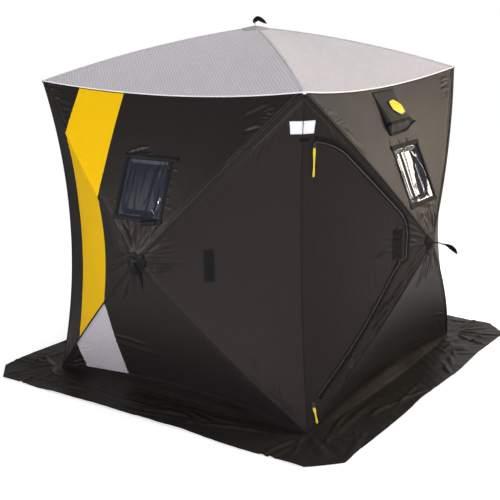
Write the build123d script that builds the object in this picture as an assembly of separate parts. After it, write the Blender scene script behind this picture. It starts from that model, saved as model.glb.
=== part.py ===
"""Hub-style ice fishing hut: a square pop-up fabric shelter, stretched over spring poles.

Five hubs, one in the middle of each wall and one in the roof, push the poles outward into the
corners. Each wall is four fabric panels that meet on the pole seams, the roof is four more, and
a snow skirt lies on the ice all round. A D-shaped zip door opens in the front wall and turns on
the corner seam. The hut has no floor: people fish through holes in the ice inside it.

Frame: millimetres, +Z up, origin on the ground under the middle of the roof. The door's wall
faces -Y, and every other wall is the same shape turned about Z.
"""
from build123d import *
import os

# ---- overall size ----
SIDE = 1778.0            # corner to corner along a wall, at the ground and at the top
CORNER_HEIGHT = 1760.0   # ground to a top corner
PEAK_HEIGHT = 2040.0     # ground to the roof hub
HUB_HEIGHT = 860.0       # ground to a wall hub
HUB_REACH = 280.0        # a wall hub's distance outside the line between the corners

# ---- fabric ----
FABRIC = 4.0             # thickness of a wall or roof panel
SKIN = 1.6               # thickness of what is sewn on the fabric
SEAT = 0.3               # gap between the fabric and what lies on it
CORNER_BOW = 75.0        # how far a corner seam is drawn in, towards each wall
TOP_BOW = 55.0           # how far a top edge is drawn in, and down
BOTTOM_BOW = 50.0        # how far a bottom edge is drawn in
BOTTOM_RISE = 35.0       # how far a bottom edge is drawn up
POLE_BOW = 25.0          # how far a wall's pole seam is pushed out
ROOF_BOW = 30.0          # how far a roof's pole seam is pushed up
HUB_SHARE = 0.035        # the share of each pole seam that a hub patch takes
HEM_LIFT = 6.0           # the lowest point of a wall above the ground

# ---- snow skirt ----
SKIRT_REACH = 1210.0     # middle of the hut to the skirt's outer edge
SKIRT_CUT = 145.0        # length cut off each corner of the skirt, along each side
SKIRT_FALL = 70.0        # width of the part that slopes down from the wall
SKIRT_SHARE = 0.6        # the share of that width where the slope steers for the ground

# ---- poles, hubs and corner sockets ----
POLE_RADIUS = 5.5
POLE_FIT = 0.3           # radial clearance of a pole in its socket
POLE_DEPTH = 14.5        # a pole's middle line behind the pole seam, at mid length
POLE_IN_HUB = 18.0       # how far a pole runs into its hub
POLE_IN_SOCKET = 6.0     # how far a pole runs into a corner socket's post
BORE_SPARE = 1.0         # how much deeper a bore is than its pole
EDGE_CUT = 3.0           # chamfer on the edges of the moulded hubs and sockets
HUB_RADIUS = 40.0
HUB_THICK = 30.0
HUB_BACKING = 6.0        # gap between a hub patch and the hub behind it
SLEEVE_RADIUS = 9.0
HUB_SLEEVE = 30.0        # length of a sleeve outside the hub
CORNER_INSET = 20.0      # a corner socket's middle, inside the corner along each axis
SOCKET_RADIUS = 15.5
SOCKET_TALL = 24.0
SOCKET_SLEEVE = 60.0     # length of a corner socket's sleeve from its middle

# ---- windows ----
WINDOW_WIDE = 285.0
WINDOW_TALL = 308.0
WINDOW_DROP = 546.0      # top seam to the window's middle, down the panel
WINDOW_CORNER = 10.0
WINDOW_BORDER = 24.0

# ---- door ----
HINGE_AT = 66.0          # corner line to the fold line
DOOR_GAP = 5.0           # gap round the door
ZIP_WIDE = 10.0
# The door's outline: UP is above the middle of the corner seam, OUT is from the corner line.
DOOR_TOP = 632.0         # highest point, on the fold line
CROWN_UP = 624.0         # the round top
CROWN_OUT = 120.0
SHOULDER_UP = 552.0      # where the top's curve meets the straight slope
SHOULDER_OUT = 268.0
ELBOW_UP = 190.0         # where the slope meets the curve beside the hub
ELBOW_OUT = 664.0
TURN_UP = 122.0          # the middle of that curve
TURN_OUT = 710.0
LATCH_TOP_UP = 0.0       # the upright stretch beside the hub
LATCH_FOOT_UP = -76.0
LATCH_OUT = 724.0
NOTCH_UP = -84.0         # where the lower curve starts
NOTCH_OUT = 672.0
BELLY_UP = -407.0        # the middle of the lower curve
BELLY_OUT = 395.0
DOOR_FOOT = -722.0       # lowest point, on the fold line

# ---- vents ----
HOOD_WIDE = 225.0
HOOD_TOP = 68.0          # top seam to the hood's upper edge, down the panel
HOOD_LIP = 275.0         # top seam to the lip
HOOD_END = 312.0         # top seam to the hood's lower edge
HOOD_PROUD = 70.0        # lip to the fabric
HOOD_HEM = 0.8           # the lower edge's height, as a share of the lip's
VENT_WIDE = 150.0
VENT_TALL = 110.0
VENT_DROP = 200.0

# ---- sewn details ----
STRIPE_NEAR = 305.0      # middle of the wall to the stripe's near edge
STRIPE_FAR = 620.0
STRAP_WIDE = 25.0
STRAP_THICK = 3.0
STRAP_NECK = 60.0
STRAP_LONG = 146.0
STRAP_DROOP = 55.0       # how far a wall pull's end hangs below its root
NECK_WIDE = 9.0
CREST_TALL = 62.0        # height of the pull on the roof
CREST_LEAN = 40.0
CREST_BEND_UP = 37.0     # a point that its curve passes through
CREST_BEND_OUT = 8.0
BAND_LEAN = 65.0         # how far the grey band leans out, from the pole seam to the hem
PULL_WIDE = 9.0
PULL_TALL = 140.0
FOOT_PULL_TALL = 56.0
SLIDER_WIDE = 16.0
SLIDER_TALL = 34.0
SLIDER_THICK = 6.0
SLIDER_UP = 610.0        # the upper slider's middle, on the zip
SLIDER_OUT = 88.0
FOOT_SLIDER_UP = -745.0  # the lower slider's middle, on the fixed fabric under the zip's end
FOOT_SLIDER_OUT = 52.0
PATCH_WIDE = 60.0
PATCH_TALL = 178.0
TIE_WIDE = 75.0          # the dark strip that ties the open door back
TIE_TALL = 168.0
TIE_UP = 14.0
TIE_OUT = 656.0
MARK_TALL = 64.0         # height of the reflective mark that wraps the corner
MARK_WIDE = 77.0         # corner line to the mark's edge
MARK_HEIGHT = 702.0      # middle of the corner seam to the middle of the mark
PATCH_HEIGHT = -18.0     # middle of the corner seam to the middle of the dark patch
PATCH_FROM = 518.0       # corner line to the middle of the dark patch

REACH = 400.0            # how far a cutter runs, both ways
HALF = SIDE / 2
HUB_OUT = HALF + HUB_REACH


def lerp(start, end, share):
    return start + (end - start) * share


def closed_solid(outer, inner):
    """A solid between two grids of control points, closed by a ruled face on each side."""
    faces = [Face.make_bezier_surface(outer), Face.make_bezier_surface(inner)]
    for row in (0, -1):
        faces.append(Face.make_bezier_surface([outer[row], inner[row]]))
        outer_side = [line[row] for line in outer]
        inner_side = [line[row] for line in inner]
        faces.append(Face.make_bezier_surface([outer_side, inner_side]))
    return Solid(Shell(faces))


class Panel:
    """One stretched fabric panel: a long seam, two pole seams and a short edge at the hub.

    Its own axes are u along the seam from the middle, v from the seam towards the hub, and
    out, away from the hut.
    """

    def __init__(self, start, end, hub, seam_bow, pole_bow, end_shifts, seam_shift, hub_shift):
        start_hub = lerp(hub, start, HUB_SHARE)
        end_hub = lerp(hub, end, HUB_SHARE)
        seam = [start, lerp(start, end, 0.5) + seam_bow * 2, end]
        edge = [start_hub, lerp(start_hub, end_hub, 0.5), end_hub]
        start_pole = lerp(start, start_hub, 0.5) + pole_bow * 2
        end_pole = lerp(end, end_hub, 0.5) + pole_bow * 2
        corners = (start + end + start_hub + end_hub) * 0.25
        heart = lerp(start_pole, end_pole, 0.5) + lerp(seam[1], edge[1], 0.5) - corners
        self.grid = [seam, [start_pole, heart, end_pole], edge]
        first = [end_shifts[0], seam_shift, end_shifts[1]]
        middle = [lerp(shift, hub_shift, 0.5) for shift in first]
        self.shifts = [first, middle, [hub_shift] * 3]
        along = (end - start).normalized()
        rise = hub - lerp(start, end, 0.5)
        inward = (rise - along * rise.dot(along)).normalized()
        self.plane = Plane(lerp(start, end, 0.5), x_dir=along, z_dir=along.cross(inward))
        away = lerp(start, end, 0.5) - Vector(0, 0, HUB_HEIGHT)
        self.out = self.plane.z_dir if self.plane.z_dir.dot(away) > 0 else -self.plane.z_dir

    def fabric(self):
        inner = [[point + shift for point, shift in zip(*rows)] for rows in zip(self.grid, self.shifts)]
        return closed_solid(self.grid, inner)

    def layer(self, low, high):
        """A skin over the whole panel, between two heights above its outer face."""
        lower = [[point + self.out * low for point in row] for row in self.grid]
        upper = [[point + self.out * high for point in row] for row in self.grid]
        return closed_solid(upper, lower)

    def cutter(self, sketch):
        return extrude(self.plane * sketch, amount=REACH, both=True)

    def middle_line(self):
        """The outer face's curve from the middle of the seam to the hub."""
        points = [lerp(lerp(row[0], row[2], 0.5), row[1], 0.5) for row in self.grid]
        return Edge.make_bezier(*points)

    def depth(self, down):
        """The outer face's height over the panel's flat plane, at a distance down its middle."""
        line = self.middle_line()
        low, high = 0.0, 1.0
        for _ in range(30):
            share = (low + high) / 2
            local = self.plane.to_local_coords(line @ share)
            low, high = (share, high) if local.Y < down else (low, share)
        return (line @ low - self.plane.origin).dot(self.out)

    def sewn_on(self, sketch, low=SEAT, thick=SKIN):
        return self.layer(low, low + thick) & self.cutter(sketch)

    def at(self, u, v, out=0.0):
        return self.plane.from_local_coords(Vector(u, v, 0)) + self.out * out


def rectangle(u, v, wide, tall):
    """A plain rectangle with its middle at u, v: wide along the seam, tall towards the hub."""
    return Pos(u, v) * Rectangle(wide, tall)


# ---- the front wall and the front of the roof, which the other sides repeat ----
TOP_LEFT = Vector(-HALF, -HALF, CORNER_HEIGHT)
TOP_RIGHT = Vector(HALF, -HALF, CORNER_HEIGHT)
BOTTOM_LEFT = Vector(-HALF, -HALF, HEM_LIFT)
BOTTOM_RIGHT = Vector(HALF, -HALF, HEM_LIFT)
HUB = Vector(0, -HUB_OUT, HUB_HEIGHT)
PEAK = Vector(0, 0, PEAK_HEIGHT)

IN_LEFT = Vector(FABRIC, FABRIC, 0)
IN_RIGHT = Vector(-FABRIC, FABRIC, 0)
IN_BACK = Vector(0, FABRIC, 0)
IN_DOWN = Vector(0, 0, -FABRIC)
WALL_BOW = Vector(0, -POLE_BOW, 0)
TOP_SEAM_BOW = Vector(0, TOP_BOW, -TOP_BOW)

TOP_PANEL = Panel(TOP_LEFT, TOP_RIGHT, HUB, TOP_SEAM_BOW, WALL_BOW,
                  (IN_LEFT + IN_DOWN, IN_RIGHT + IN_DOWN), IN_BACK + IN_DOWN, IN_BACK)
BOTTOM_PANEL = Panel(BOTTOM_LEFT, BOTTOM_RIGHT, HUB, Vector(0, BOTTOM_BOW, BOTTOM_RISE), WALL_BOW,
                     (IN_LEFT, IN_RIGHT), IN_BACK, IN_BACK)
LEFT_PANEL = Panel(BOTTOM_LEFT, TOP_LEFT, HUB, Vector(CORNER_BOW, CORNER_BOW, 0), WALL_BOW,
                   (IN_LEFT, IN_LEFT + IN_DOWN), IN_LEFT, IN_BACK)
RIGHT_PANEL = Panel(BOTTOM_RIGHT, TOP_RIGHT, HUB, Vector(-CORNER_BOW, CORNER_BOW, 0), WALL_BOW,
                    (IN_RIGHT, IN_RIGHT + IN_DOWN), IN_RIGHT, IN_BACK)
ROOF_PANEL = Panel(TOP_LEFT, TOP_RIGHT, PEAK, TOP_SEAM_BOW, Vector(0, 0, ROOF_BOW),
                   (IN_LEFT + IN_DOWN, IN_RIGHT + IN_DOWN), IN_BACK + IN_DOWN, IN_DOWN)

SIDES = {"front": 0, "right": 90, "back": 180, "left": 270}


def turned(shape, side):
    return Rot(0, 0, SIDES[side]) * shape


# ---- windows ----
def window_opening(grow=0.0):
    opening = RectangleRounded(WINDOW_WIDE + 2 * grow, WINDOW_TALL + 2 * grow, WINDOW_CORNER + grow)
    return Pos(0, WINDOW_DROP) * opening


def window_pane():
    return TOP_PANEL.fabric() & TOP_PANEL.cutter(window_opening())


def window_border():
    return TOP_PANEL.sewn_on(window_opening(WINDOW_BORDER) - window_opening())


# ---- vents ----
def vent_opening():
    return rectangle(0, VENT_DROP, VENT_WIDE, VENT_TALL)


def vent_mesh():
    return TOP_PANEL.fabric() & TOP_PANEL.cutter(vent_opening())


def hood_profile(inset, end):
    """The hood's section, down the panel and outward, inset from its outer face."""
    root = TOP_PANEL.depth(HOOD_TOP)
    lip = TOP_PANEL.depth(HOOD_LIP) + HOOD_PROUD
    hem = TOP_PANEL.depth(HOOD_END) + HOOD_PROUD * HOOD_HEM
    outline = [(HOOD_TOP, root + FABRIC), (HOOD_LIP, lip), (end, hem)]
    points = [TOP_PANEL.at(0, down, out - inset) for down, out in outline]
    points.append(TOP_PANEL.at(0, end, -REACH / 2))
    points.append(TOP_PANEL.at(0, HOOD_TOP, -REACH / 2))
    return make_face(Polyline(*points, close=True))


def hood_block(inset, end):
    along = TOP_PANEL.plane.x_dir
    return extrude(hood_profile(inset, end), amount=HOOD_WIDE / 2 - inset, dir=along, both=True)


def vent_hood():
    shell = hood_block(0, HOOD_END) - hood_block(FABRIC, HOOD_END + FABRIC)
    return shell - TOP_PANEL.layer(-REACH, SEAT)


# ---- door ----
def door_outline(grow=0.0):
    """The D-shaped door: straight on the fold line, round at the top and upright by the hub."""
    edge = ThreePointArc((DOOR_TOP, HINGE_AT), (CROWN_UP, CROWN_OUT), (SHOULDER_UP, SHOULDER_OUT))
    edge += Line((SHOULDER_UP, SHOULDER_OUT), (ELBOW_UP, ELBOW_OUT))
    edge += ThreePointArc((ELBOW_UP, ELBOW_OUT), (TURN_UP, TURN_OUT), (LATCH_TOP_UP, LATCH_OUT))
    edge += Line((LATCH_TOP_UP, LATCH_OUT), (LATCH_FOOT_UP, LATCH_OUT))
    edge += Line((LATCH_FOOT_UP, LATCH_OUT), (NOTCH_UP, NOTCH_OUT))
    edge += ThreePointArc((NOTCH_UP, NOTCH_OUT), (BELLY_UP, BELLY_OUT), (DOOR_FOOT, HINGE_AT))
    edge += Line((DOOR_FOOT, HINGE_AT), (DOOR_TOP, HINGE_AT))
    outline = make_face(edge)
    return offset(outline, amount=grow, kind=Kind.INTERSECTION) if grow else outline


def door_panel():
    return LEFT_PANEL.fabric() & LEFT_PANEL.cutter(door_outline())


def fold_side(out):
    """The part of the panel's plane between the corner line and a line at this distance from it."""
    tall = SIDE * 2
    return rectangle(0, out - tall / 2, tall, tall)


def door_zip():
    """The zip's band, along the whole edge that opens and not along the fold."""
    band = door_outline() - door_outline(-ZIP_WIDE)
    return LEFT_PANEL.sewn_on(band - fold_side(HINGE_AT + ZIP_WIDE))


def zip_pull(up, out, tall, low):
    """A slider, and the bright tab that hangs from its lower end."""
    block = Pos(up, out) * RectangleRounded(SLIDER_TALL, SLIDER_WIDE, SLIDER_WIDE / 4)
    tab = rectangle(up - SLIDER_TALL / 2 - SEAT - tall / 2, out, tall, PULL_WIDE)
    return [LEFT_PANEL.sewn_on(block, low, SLIDER_THICK), LEFT_PANEL.sewn_on(tab, low, SKIN)]


def door_surround():
    """The fixed fabric round the door: the strip at the fold, then above and below the door."""
    fold_strip = fold_side(HINGE_AT - SEAT)
    rest = LEFT_PANEL.fabric() - LEFT_PANEL.cutter(door_outline(DOOR_GAP) - fold_strip)
    tall = SIDE * 2
    hub_line = HUB_HEIGHT - (CORNER_HEIGHT + HEM_LIFT) / 2
    edge = HINGE_AT - SEAT + tall / 2
    above = rectangle(hub_line + tall / 2, edge, tall, tall)
    below = rectangle(hub_line - tall / 2, edge, tall, tall)
    return [rest & LEFT_PANEL.cutter(zone) for zone in (fold_strip, above, below)]


# ---- poles, hubs and sockets ----
def node_inside(corner, down):
    sign_x = 1 if corner.X < 0 else -1
    return corner + Vector(sign_x * CORNER_INSET, CORNER_INSET, down)


def pole_path(hub_middle, corner_middle, seam_corner, hub, bow, inward):
    """The middle line of one pole, an arc that follows its seam inside the fabric."""
    seam_middle = lerp(seam_corner, hub, 0.5) + bow
    middle = seam_middle + inward * POLE_DEPTH
    return ThreePointArc(hub_middle, middle, corner_middle).edge()


def trimmed(path, start_gap, end_gap):
    start = start_gap / path.length
    end = 1 - end_gap / path.length
    return path.trim(start, end)


def rod(path, radius):
    section = Plane(path @ 0, z_dir=path % 0) * Circle(radius)
    return sweep(section, path=path)


def wall_paths():
    hub_middle = HUB + Vector(0, FABRIC + HUB_BACKING + HUB_THICK / 2 + HUB_REACH * HUB_SHARE, 0)
    inward = Vector(0, 1, 0)
    corners = [(TOP_LEFT, -CORNER_INSET), (TOP_RIGHT, -CORNER_INSET)]
    corners += [(BOTTOM_LEFT, CORNER_INSET), (BOTTOM_RIGHT, CORNER_INSET)]
    return hub_middle, [pole_path(hub_middle, node_inside(corner, down), corner, HUB, WALL_BOW, inward)
                        for corner, down in corners]


def roof_path():
    drop = FABRIC + HUB_BACKING + HUB_THICK / 2 + (PEAK_HEIGHT - CORNER_HEIGHT) * HUB_SHARE
    hub_middle = PEAK - Vector(0, 0, drop)
    corner_middle = node_inside(TOP_LEFT, -CORNER_INSET)
    bow = Vector(0, 0, ROOF_BOW)
    return hub_middle, pole_path(hub_middle, corner_middle, TOP_LEFT, PEAK, bow, Vector(0, 0, -1))


POLE_START = HUB_RADIUS - POLE_IN_HUB
POLE_END = SOCKET_RADIUS - POLE_IN_SOCKET


def pole(path):
    return rod(trimmed(path, POLE_START, POLE_END), POLE_RADIUS)


def bore(path):
    return rod(trimmed(path, POLE_START - BORE_SPARE, POLE_END - BORE_SPARE), POLE_RADIUS + POLE_FIT)


def hub(middle, axis, paths):
    """A moulded hub: a thick disc with a sleeve for each pole."""
    body = Plane(middle, z_dir=axis) * Cylinder(HUB_RADIUS, HUB_THICK)
    body = chamfer(body.edges().filter_by(GeomType.CIRCLE), EDGE_CUT)
    for path in paths:
        body += rod(path.trim(0, (HUB_RADIUS + HUB_SLEEVE) / path.length), SLEEVE_RADIUS)
    for path in paths:
        body -= bore(path)
    return body


def corner_socket(middle, paths):
    """A moulded corner: a short post with a sleeve for each pole that meets there."""
    body = Pos(middle) * Cylinder(SOCKET_RADIUS, SOCKET_TALL)
    body = chamfer(body.edges().filter_by(GeomType.CIRCLE), EDGE_CUT)
    for path in paths:
        body += rod(path.trim(1 - SOCKET_SLEEVE / path.length, 1), SLEEVE_RADIUS)
    for path in paths:
        body -= bore(path)
    return body


# ---- hub patches and pull straps ----
def hub_patch():
    points = [lerp(HUB, corner, HUB_SHARE) for corner in (TOP_LEFT, TOP_RIGHT, BOTTOM_RIGHT, BOTTOM_LEFT)]
    return extrude(make_face(Polyline(*points, close=True)), amount=FABRIC, dir=(0, 1, 0))


def roof_patch():
    corner = lerp(PEAK, TOP_LEFT, HUB_SHARE)
    half = -corner.X
    return Pos(0, 0, corner.Z - FABRIC / 2) * Box(2 * half, 2 * half, FABRIC)


def ribbon(path, wide):
    """Webbing along a path in the XY plane, as wide as given along Z."""
    section = Plane(path @ 0, x_dir=(0, 0, 1), z_dir=path % 0) * Rectangle(wide, STRAP_THICK)
    return sweep(section, path=path)


def wall_strap():
    """A wall hub's pull: a thin neck that stands out, then a broad tab that droops."""
    neck = Line((0, 0), (STRAP_NECK, 0))
    tab = TangentArc((STRAP_NECK, 0), (STRAP_LONG, -STRAP_DROOP), tangent=(1, 0))
    root = (0, HUB.Y + HUB_REACH * HUB_SHARE - SEAT, HUB_HEIGHT)
    frame = Plane(root, x_dir=(0, -1, 0), z_dir=(-1, 0, 0))
    return frame * (ribbon(neck, NECK_WIDE) + ribbon(tab, STRAP_WIDE))


def roof_strap():
    """The roof hub's pull: a tab that stands up and leans over."""
    root = (0, 0, lerp(PEAK, TOP_LEFT, HUB_SHARE).Z + SEAT)
    frame = Plane(root, x_dir=(0, 0, 1), z_dir=(0, 1, 0))
    tab = ThreePointArc((0, 0), (CREST_BEND_UP, CREST_BEND_OUT), (CREST_TALL, CREST_LEAN))
    return frame * ribbon(tab, STRAP_WIDE)


# ---- snow skirt ----
def skirt_slope(fold):
    """The skirt's inner part, from under the wall's hem down to the ground at the fold."""
    under = Vector(0, 0, -FABRIC - SEAT)
    left = BOTTOM_LEFT + IN_LEFT + under
    right = BOTTOM_RIGHT + IN_RIGHT + under
    hem = [left, lerp(left, right, 0.5) + Vector(0, BOTTOM_BOW, BOTTOM_RISE) * 2, right]
    foot = [Vector(-fold, -fold, 0), Vector(0, -fold, 0), Vector(fold, -fold, 0)]
    steer = [lerp(hem[0], foot[0], SKIRT_SHARE), Vector(0, lerp(hem[1].Y, -fold, SKIRT_SHARE), 0),
             lerp(hem[2], foot[2], SKIRT_SHARE)]
    lower = [hem, [Vector(point.X, point.Y, 0) for point in steer], foot]
    upper = [[point + Vector(0, 0, FABRIC) for point in row] for row in lower]
    return closed_solid(upper, lower)


def skirt():
    """One side of the skirt: a slope from the wall's hem to the ground, then a flat flap."""
    fold = HALF + SKIRT_FALL
    tip = SKIRT_REACH - SKIRT_CUT / 2
    edge = SKIRT_REACH - SKIRT_CUT
    points = [(-fold, -fold), (fold, -fold), (tip, -tip), (edge, -SKIRT_REACH)]
    points += [(-edge, -SKIRT_REACH), (-tip, -tip)]
    flap = extrude(make_face(Polyline(*points, close=True)), amount=FABRIC, dir=(0, 0, 1))
    return skirt_slope(fold) + flap


# ---- sewn details ----
def stripe():
    """An upright band of bright fabric, on the top panel and the left panel of a wall."""
    middle = Vector(-(STRIPE_NEAR + STRIPE_FAR) / 2, -HUB_OUT, CORNER_HEIGHT / 2)
    slab = Pos(middle) * Box(STRIPE_FAR - STRIPE_NEAR, 2 * REACH, 2 * CORNER_HEIGHT)
    return [panel.layer(SEAT, SEAT + SKIN) & slab for panel in (TOP_PANEL, LEFT_PANEL)]


def grey_band():
    """Roof fabric that carries the stripe down the bottom panel."""
    points = [(-STRIPE_NEAR, REACH * 2), (-STRIPE_NEAR - BAND_LEAN, -REACH)]
    points += [(-STRIPE_FAR - BAND_LEAN, -REACH), (-STRIPE_FAR, REACH * 2)]
    return BOTTOM_PANEL.sewn_on(make_face(Polyline(*points, close=True)))


def write(name, solids):
    """Writes one node, from one solid or from several that don't touch."""
    pieces = [piece for shape in solids for piece in shape.solids()]
    shape = pieces[0] if len(pieces) == 1 else Compound(children=pieces)
    export_step(shape, os.path.join("parts", name + ".step"))


os.makedirs("parts", exist_ok=True)

# roof
roof_fabric = ROOF_PANEL.fabric()
for name in SIDES:
    write("roof_" + name, [turned(roof_fabric, name)])

# walls
top_fabric = TOP_PANEL.fabric() - TOP_PANEL.cutter(window_opening())
vented_top = top_fabric - TOP_PANEL.cutter(vent_opening())
bottom_fabric = BOTTOM_PANEL.fabric()
left_fabric = LEFT_PANEL.fabric()
right_fabric = RIGHT_PANEL.fabric()
for name in SIDES:
    top = vented_top if name in ("front", "back") else top_fabric
    write(name + "_wall_top", [turned(top, name)])
    write(name + "_wall_bottom", [turned(bottom_fabric, name)])
    write(name + "_wall_right_side", [turned(right_fabric, name)])
    if name != "front":
        write(name + "_wall_left_side", [turned(left_fabric, name)])
fold_strip, above_door, below_door = door_surround()
write("door_fold_strip", [fold_strip])
write("front_wall_above_door", [above_door])
write("front_wall_below_door", [below_door])

# door
write("door_panel", [door_panel()])
write("door_zip", [door_zip()])
tie_zone = rectangle(TIE_UP, TIE_OUT, TIE_TALL, TIE_WIDE)
write("door_tie_strip", [LEFT_PANEL.sewn_on(tie_zone)])
write("door_zip_pull", zip_pull(SLIDER_UP, SLIDER_OUT, PULL_TALL, SEAT + SKIN + SEAT))
write("foot_zip_pull", zip_pull(FOOT_SLIDER_UP, FOOT_SLIDER_OUT, FOOT_PULL_TALL, SEAT))

# windows
pane = window_pane()
border = window_border()
write("window_panes", [turned(pane, name) for name in SIDES])
write("window_borders", [turned(border, name) for name in SIDES])

# vents
hood = vent_hood()
mesh = vent_mesh()
write("vent_hoods", [turned(hood, name) for name in ("front", "back")])
write("vent_meshes", [turned(mesh, name) for name in ("front", "back")])

# poles, hubs and sockets
wall_hub_middle, wall_pole_paths = wall_paths()
roof_hub_middle, roof_pole_path = roof_path()
wall_poles = [pole(path) for path in wall_pole_paths]
for name in SIDES:
    write(name + "_wall_poles", [turned(piece, name) for piece in wall_poles])
roof_pole = pole(roof_pole_path)
write("roof_poles", [turned(roof_pole, name) for name in SIDES])
wall_hub = hub(wall_hub_middle, (0, 1, 0), wall_pole_paths)
roof_hub_paths = [turned(roof_pole_path, name) for name in SIDES]
roof_hub = hub(roof_hub_middle, (0, 0, 1), roof_hub_paths)
write("pole_hubs", [turned(wall_hub, name) for name in SIDES] + [roof_hub])
top_left_paths = [wall_pole_paths[0], turned(wall_pole_paths[1], "left"), roof_pole_path]
bottom_left_paths = [wall_pole_paths[2], turned(wall_pole_paths[3], "left")]
top_socket = corner_socket(node_inside(TOP_LEFT, -CORNER_INSET), top_left_paths)
bottom_socket = corner_socket(node_inside(BOTTOM_LEFT, CORNER_INSET), bottom_left_paths)
write("top_corner_sockets", [turned(top_socket, name) for name in SIDES])
write("bottom_corner_sockets", [turned(bottom_socket, name) for name in SIDES])

# hub patches and pull straps
patch = hub_patch()
write("hub_patches", [turned(patch, name) for name in SIDES] + [roof_patch()])
pull = wall_strap()
write("pull_straps", [turned(pull, name) for name in SIDES] + [roof_strap()])

# skirt
skirt_side = skirt()
for name in SIDES:
    write(name + "_skirt", [turned(skirt_side, name)])

# stripes and patches
bright = stripe()
grey = grey_band()
write("side_stripes", [turned(piece, name) for name in ("left", "right") for piece in bright])
write("side_grey_bands", [turned(grey, name) for name in ("left", "right")])
patch_zone = rectangle(PATCH_HEIGHT, PATCH_FROM, PATCH_TALL, PATCH_WIDE)
write("left_wall_patch", [turned(RIGHT_PANEL.sewn_on(patch_zone), "left")])
mark_zone = rectangle(MARK_HEIGHT, MARK_WIDE / 2, MARK_TALL, MARK_WIDE)
mark_left = turned(RIGHT_PANEL.sewn_on(mark_zone), "left")
write("reflective_mark", [LEFT_PANEL.sewn_on(mark_zone), mark_left])
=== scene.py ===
"""The ice fishing hut dressed for a picture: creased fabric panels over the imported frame.

Every panel is cut from a flat triangle mesh in its own plane, laid on the bowed surface that the
spring poles give it, and then creased. The door rides on its own body.
"""
import math

import bpy
import bmesh
import numpy as np
from mathutils import Matrix, Vector, geometry


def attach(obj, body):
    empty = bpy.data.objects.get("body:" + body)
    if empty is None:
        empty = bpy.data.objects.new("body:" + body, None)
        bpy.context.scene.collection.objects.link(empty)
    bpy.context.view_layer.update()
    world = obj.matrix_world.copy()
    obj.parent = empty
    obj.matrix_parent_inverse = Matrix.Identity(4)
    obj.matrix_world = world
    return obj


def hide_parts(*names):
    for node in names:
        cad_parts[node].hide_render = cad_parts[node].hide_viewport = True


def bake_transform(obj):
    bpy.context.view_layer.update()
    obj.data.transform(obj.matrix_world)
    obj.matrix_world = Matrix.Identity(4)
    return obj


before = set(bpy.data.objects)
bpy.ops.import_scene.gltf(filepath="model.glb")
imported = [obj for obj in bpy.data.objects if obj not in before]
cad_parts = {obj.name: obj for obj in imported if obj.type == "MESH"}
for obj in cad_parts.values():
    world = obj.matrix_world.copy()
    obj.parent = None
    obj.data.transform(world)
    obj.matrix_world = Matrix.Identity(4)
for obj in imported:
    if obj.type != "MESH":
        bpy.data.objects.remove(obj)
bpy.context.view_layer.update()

# ---- the hut's sizes in metres, the same as in the part's source ----
HALF = 0.889
EAVES = 1.760
PEAK_HEIGHT = 2.040
HUB_HEIGHT = 0.860
HUB_REACH = 0.280
HEM_LIFT = 0.006
CORNER_BOW = 0.075
TOP_BOW = 0.055
BOTTOM_BOW = 0.050
BOTTOM_RISE = 0.035
POLE_BOW = 0.025
ROOF_BOW = 0.030
HUB_SHARE = 0.035
FOLD_LINE = 0.066
SKIRT_REACH = 1.210
SKIRT_CUT = 0.145
SKIRT_SLOPE = 0.045                # how far past the corners the skirt meets the ice
WINDOW = (0.285, 0.308, 0.546)     # wide, tall, middle below the top seam
WINDOW_BORDER = 0.024
VENT = (0.150, 0.110, 0.200)
STRIPE = (0.305, 0.620)
BAND_LEAN = 0.065
CREST_TURN = math.radians(-55.5)   # which way the roof's pull flops over
DOOR_ARC = ((632, 66), (624, 120), (552, 268))       # the door's outline, in mm: up, out
DOOR_SLOPE = ((552, 268), (190, 664))
DOOR_TURN = ((190, 664), (122, 710), (0, 724))
DOOR_LATCH = ((0, 724), (-76, 724), (-84, 672))
DOOR_BELLY = ((-84, 672), (-407, 395), (-722, 66))
WINDOW_SHIFT = {"left": -0.014}    # the left wall's window sits off the middle
CLOTH_STEP = 0.014                 # triangle size of the fabric meshes
FINE_STEP = 0.0062                 # the same beside a crease
CLOTH_THICK = 0.0012
SEAM_FADE = 0.022                  # creases fade out this close to a seam
GROOVE_DEEP, GROOVE_AT, GROOVE_WIDE = 0.0022, 0.019, 0.009      # the dip beside a pole sleeve
SIDES = {"front": 0, "right": 1, "back": 2, "left": 3}        # quarter turns from the front
TO_FRONT = {"front": "front", "right": "left", "back": "back", "left": "right"}
STRIPED, VENTED = ("left", "right"), ("front", "back")


# ---- small sums ----
def smooth(x):
    x = np.clip(x, 0, 1)
    return x * x * (3 - 2 * x)


def turned(points, side):
    """Points of the front side, carried round the hut to another side."""
    quarter = SIDES[side]
    c, s = (1, 0, -1, 0)[quarter], (0, 1, 0, -1)[quarter]
    x, y, z = np.moveaxis(np.asarray(points, float), -1, 0)
    return np.stack([c * x - s * y, s * x + c * y, z], -1)


def distance(points, line):
    """Distance from each flat point to a polyline."""
    best = np.full(len(points), 1e9)
    for a, b in zip(line[:-1], line[1:]):
        run = b - a
        share = np.clip(((points - a) @ run) / max(run @ run, 1e-12), 0, 1)
        gap = points - a - share[:, None] * run
        best = np.minimum(best, np.hypot(gap[:, 0], gap[:, 1]))
    return best


def inside(points, outline):
    """Which flat points lie inside a closed outline."""
    x, y = points.T
    found = np.zeros(len(points), bool)
    for (x1, y1), (x2, y2) in zip(outline, np.roll(outline, -1, 0)):
        across = (y1 > y) != (y2 > y)
        found ^= across & (x < (x2 - x1) * (y - y1) / (y2 - y1 + 1e-15) + x1)
    return found


def headings(line):
    """The unit direction of a line at each of its points."""
    way = np.gradient(line, axis=0)
    return way / np.maximum(np.linalg.norm(way, axis=1, keepdims=True), 1e-9)


def beside(line, gap):
    """A flat line at a distance to the left of another one."""
    way = headings(line)
    return line + np.stack([-way[:, 1], way[:, 0]], -1) * gap


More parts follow.
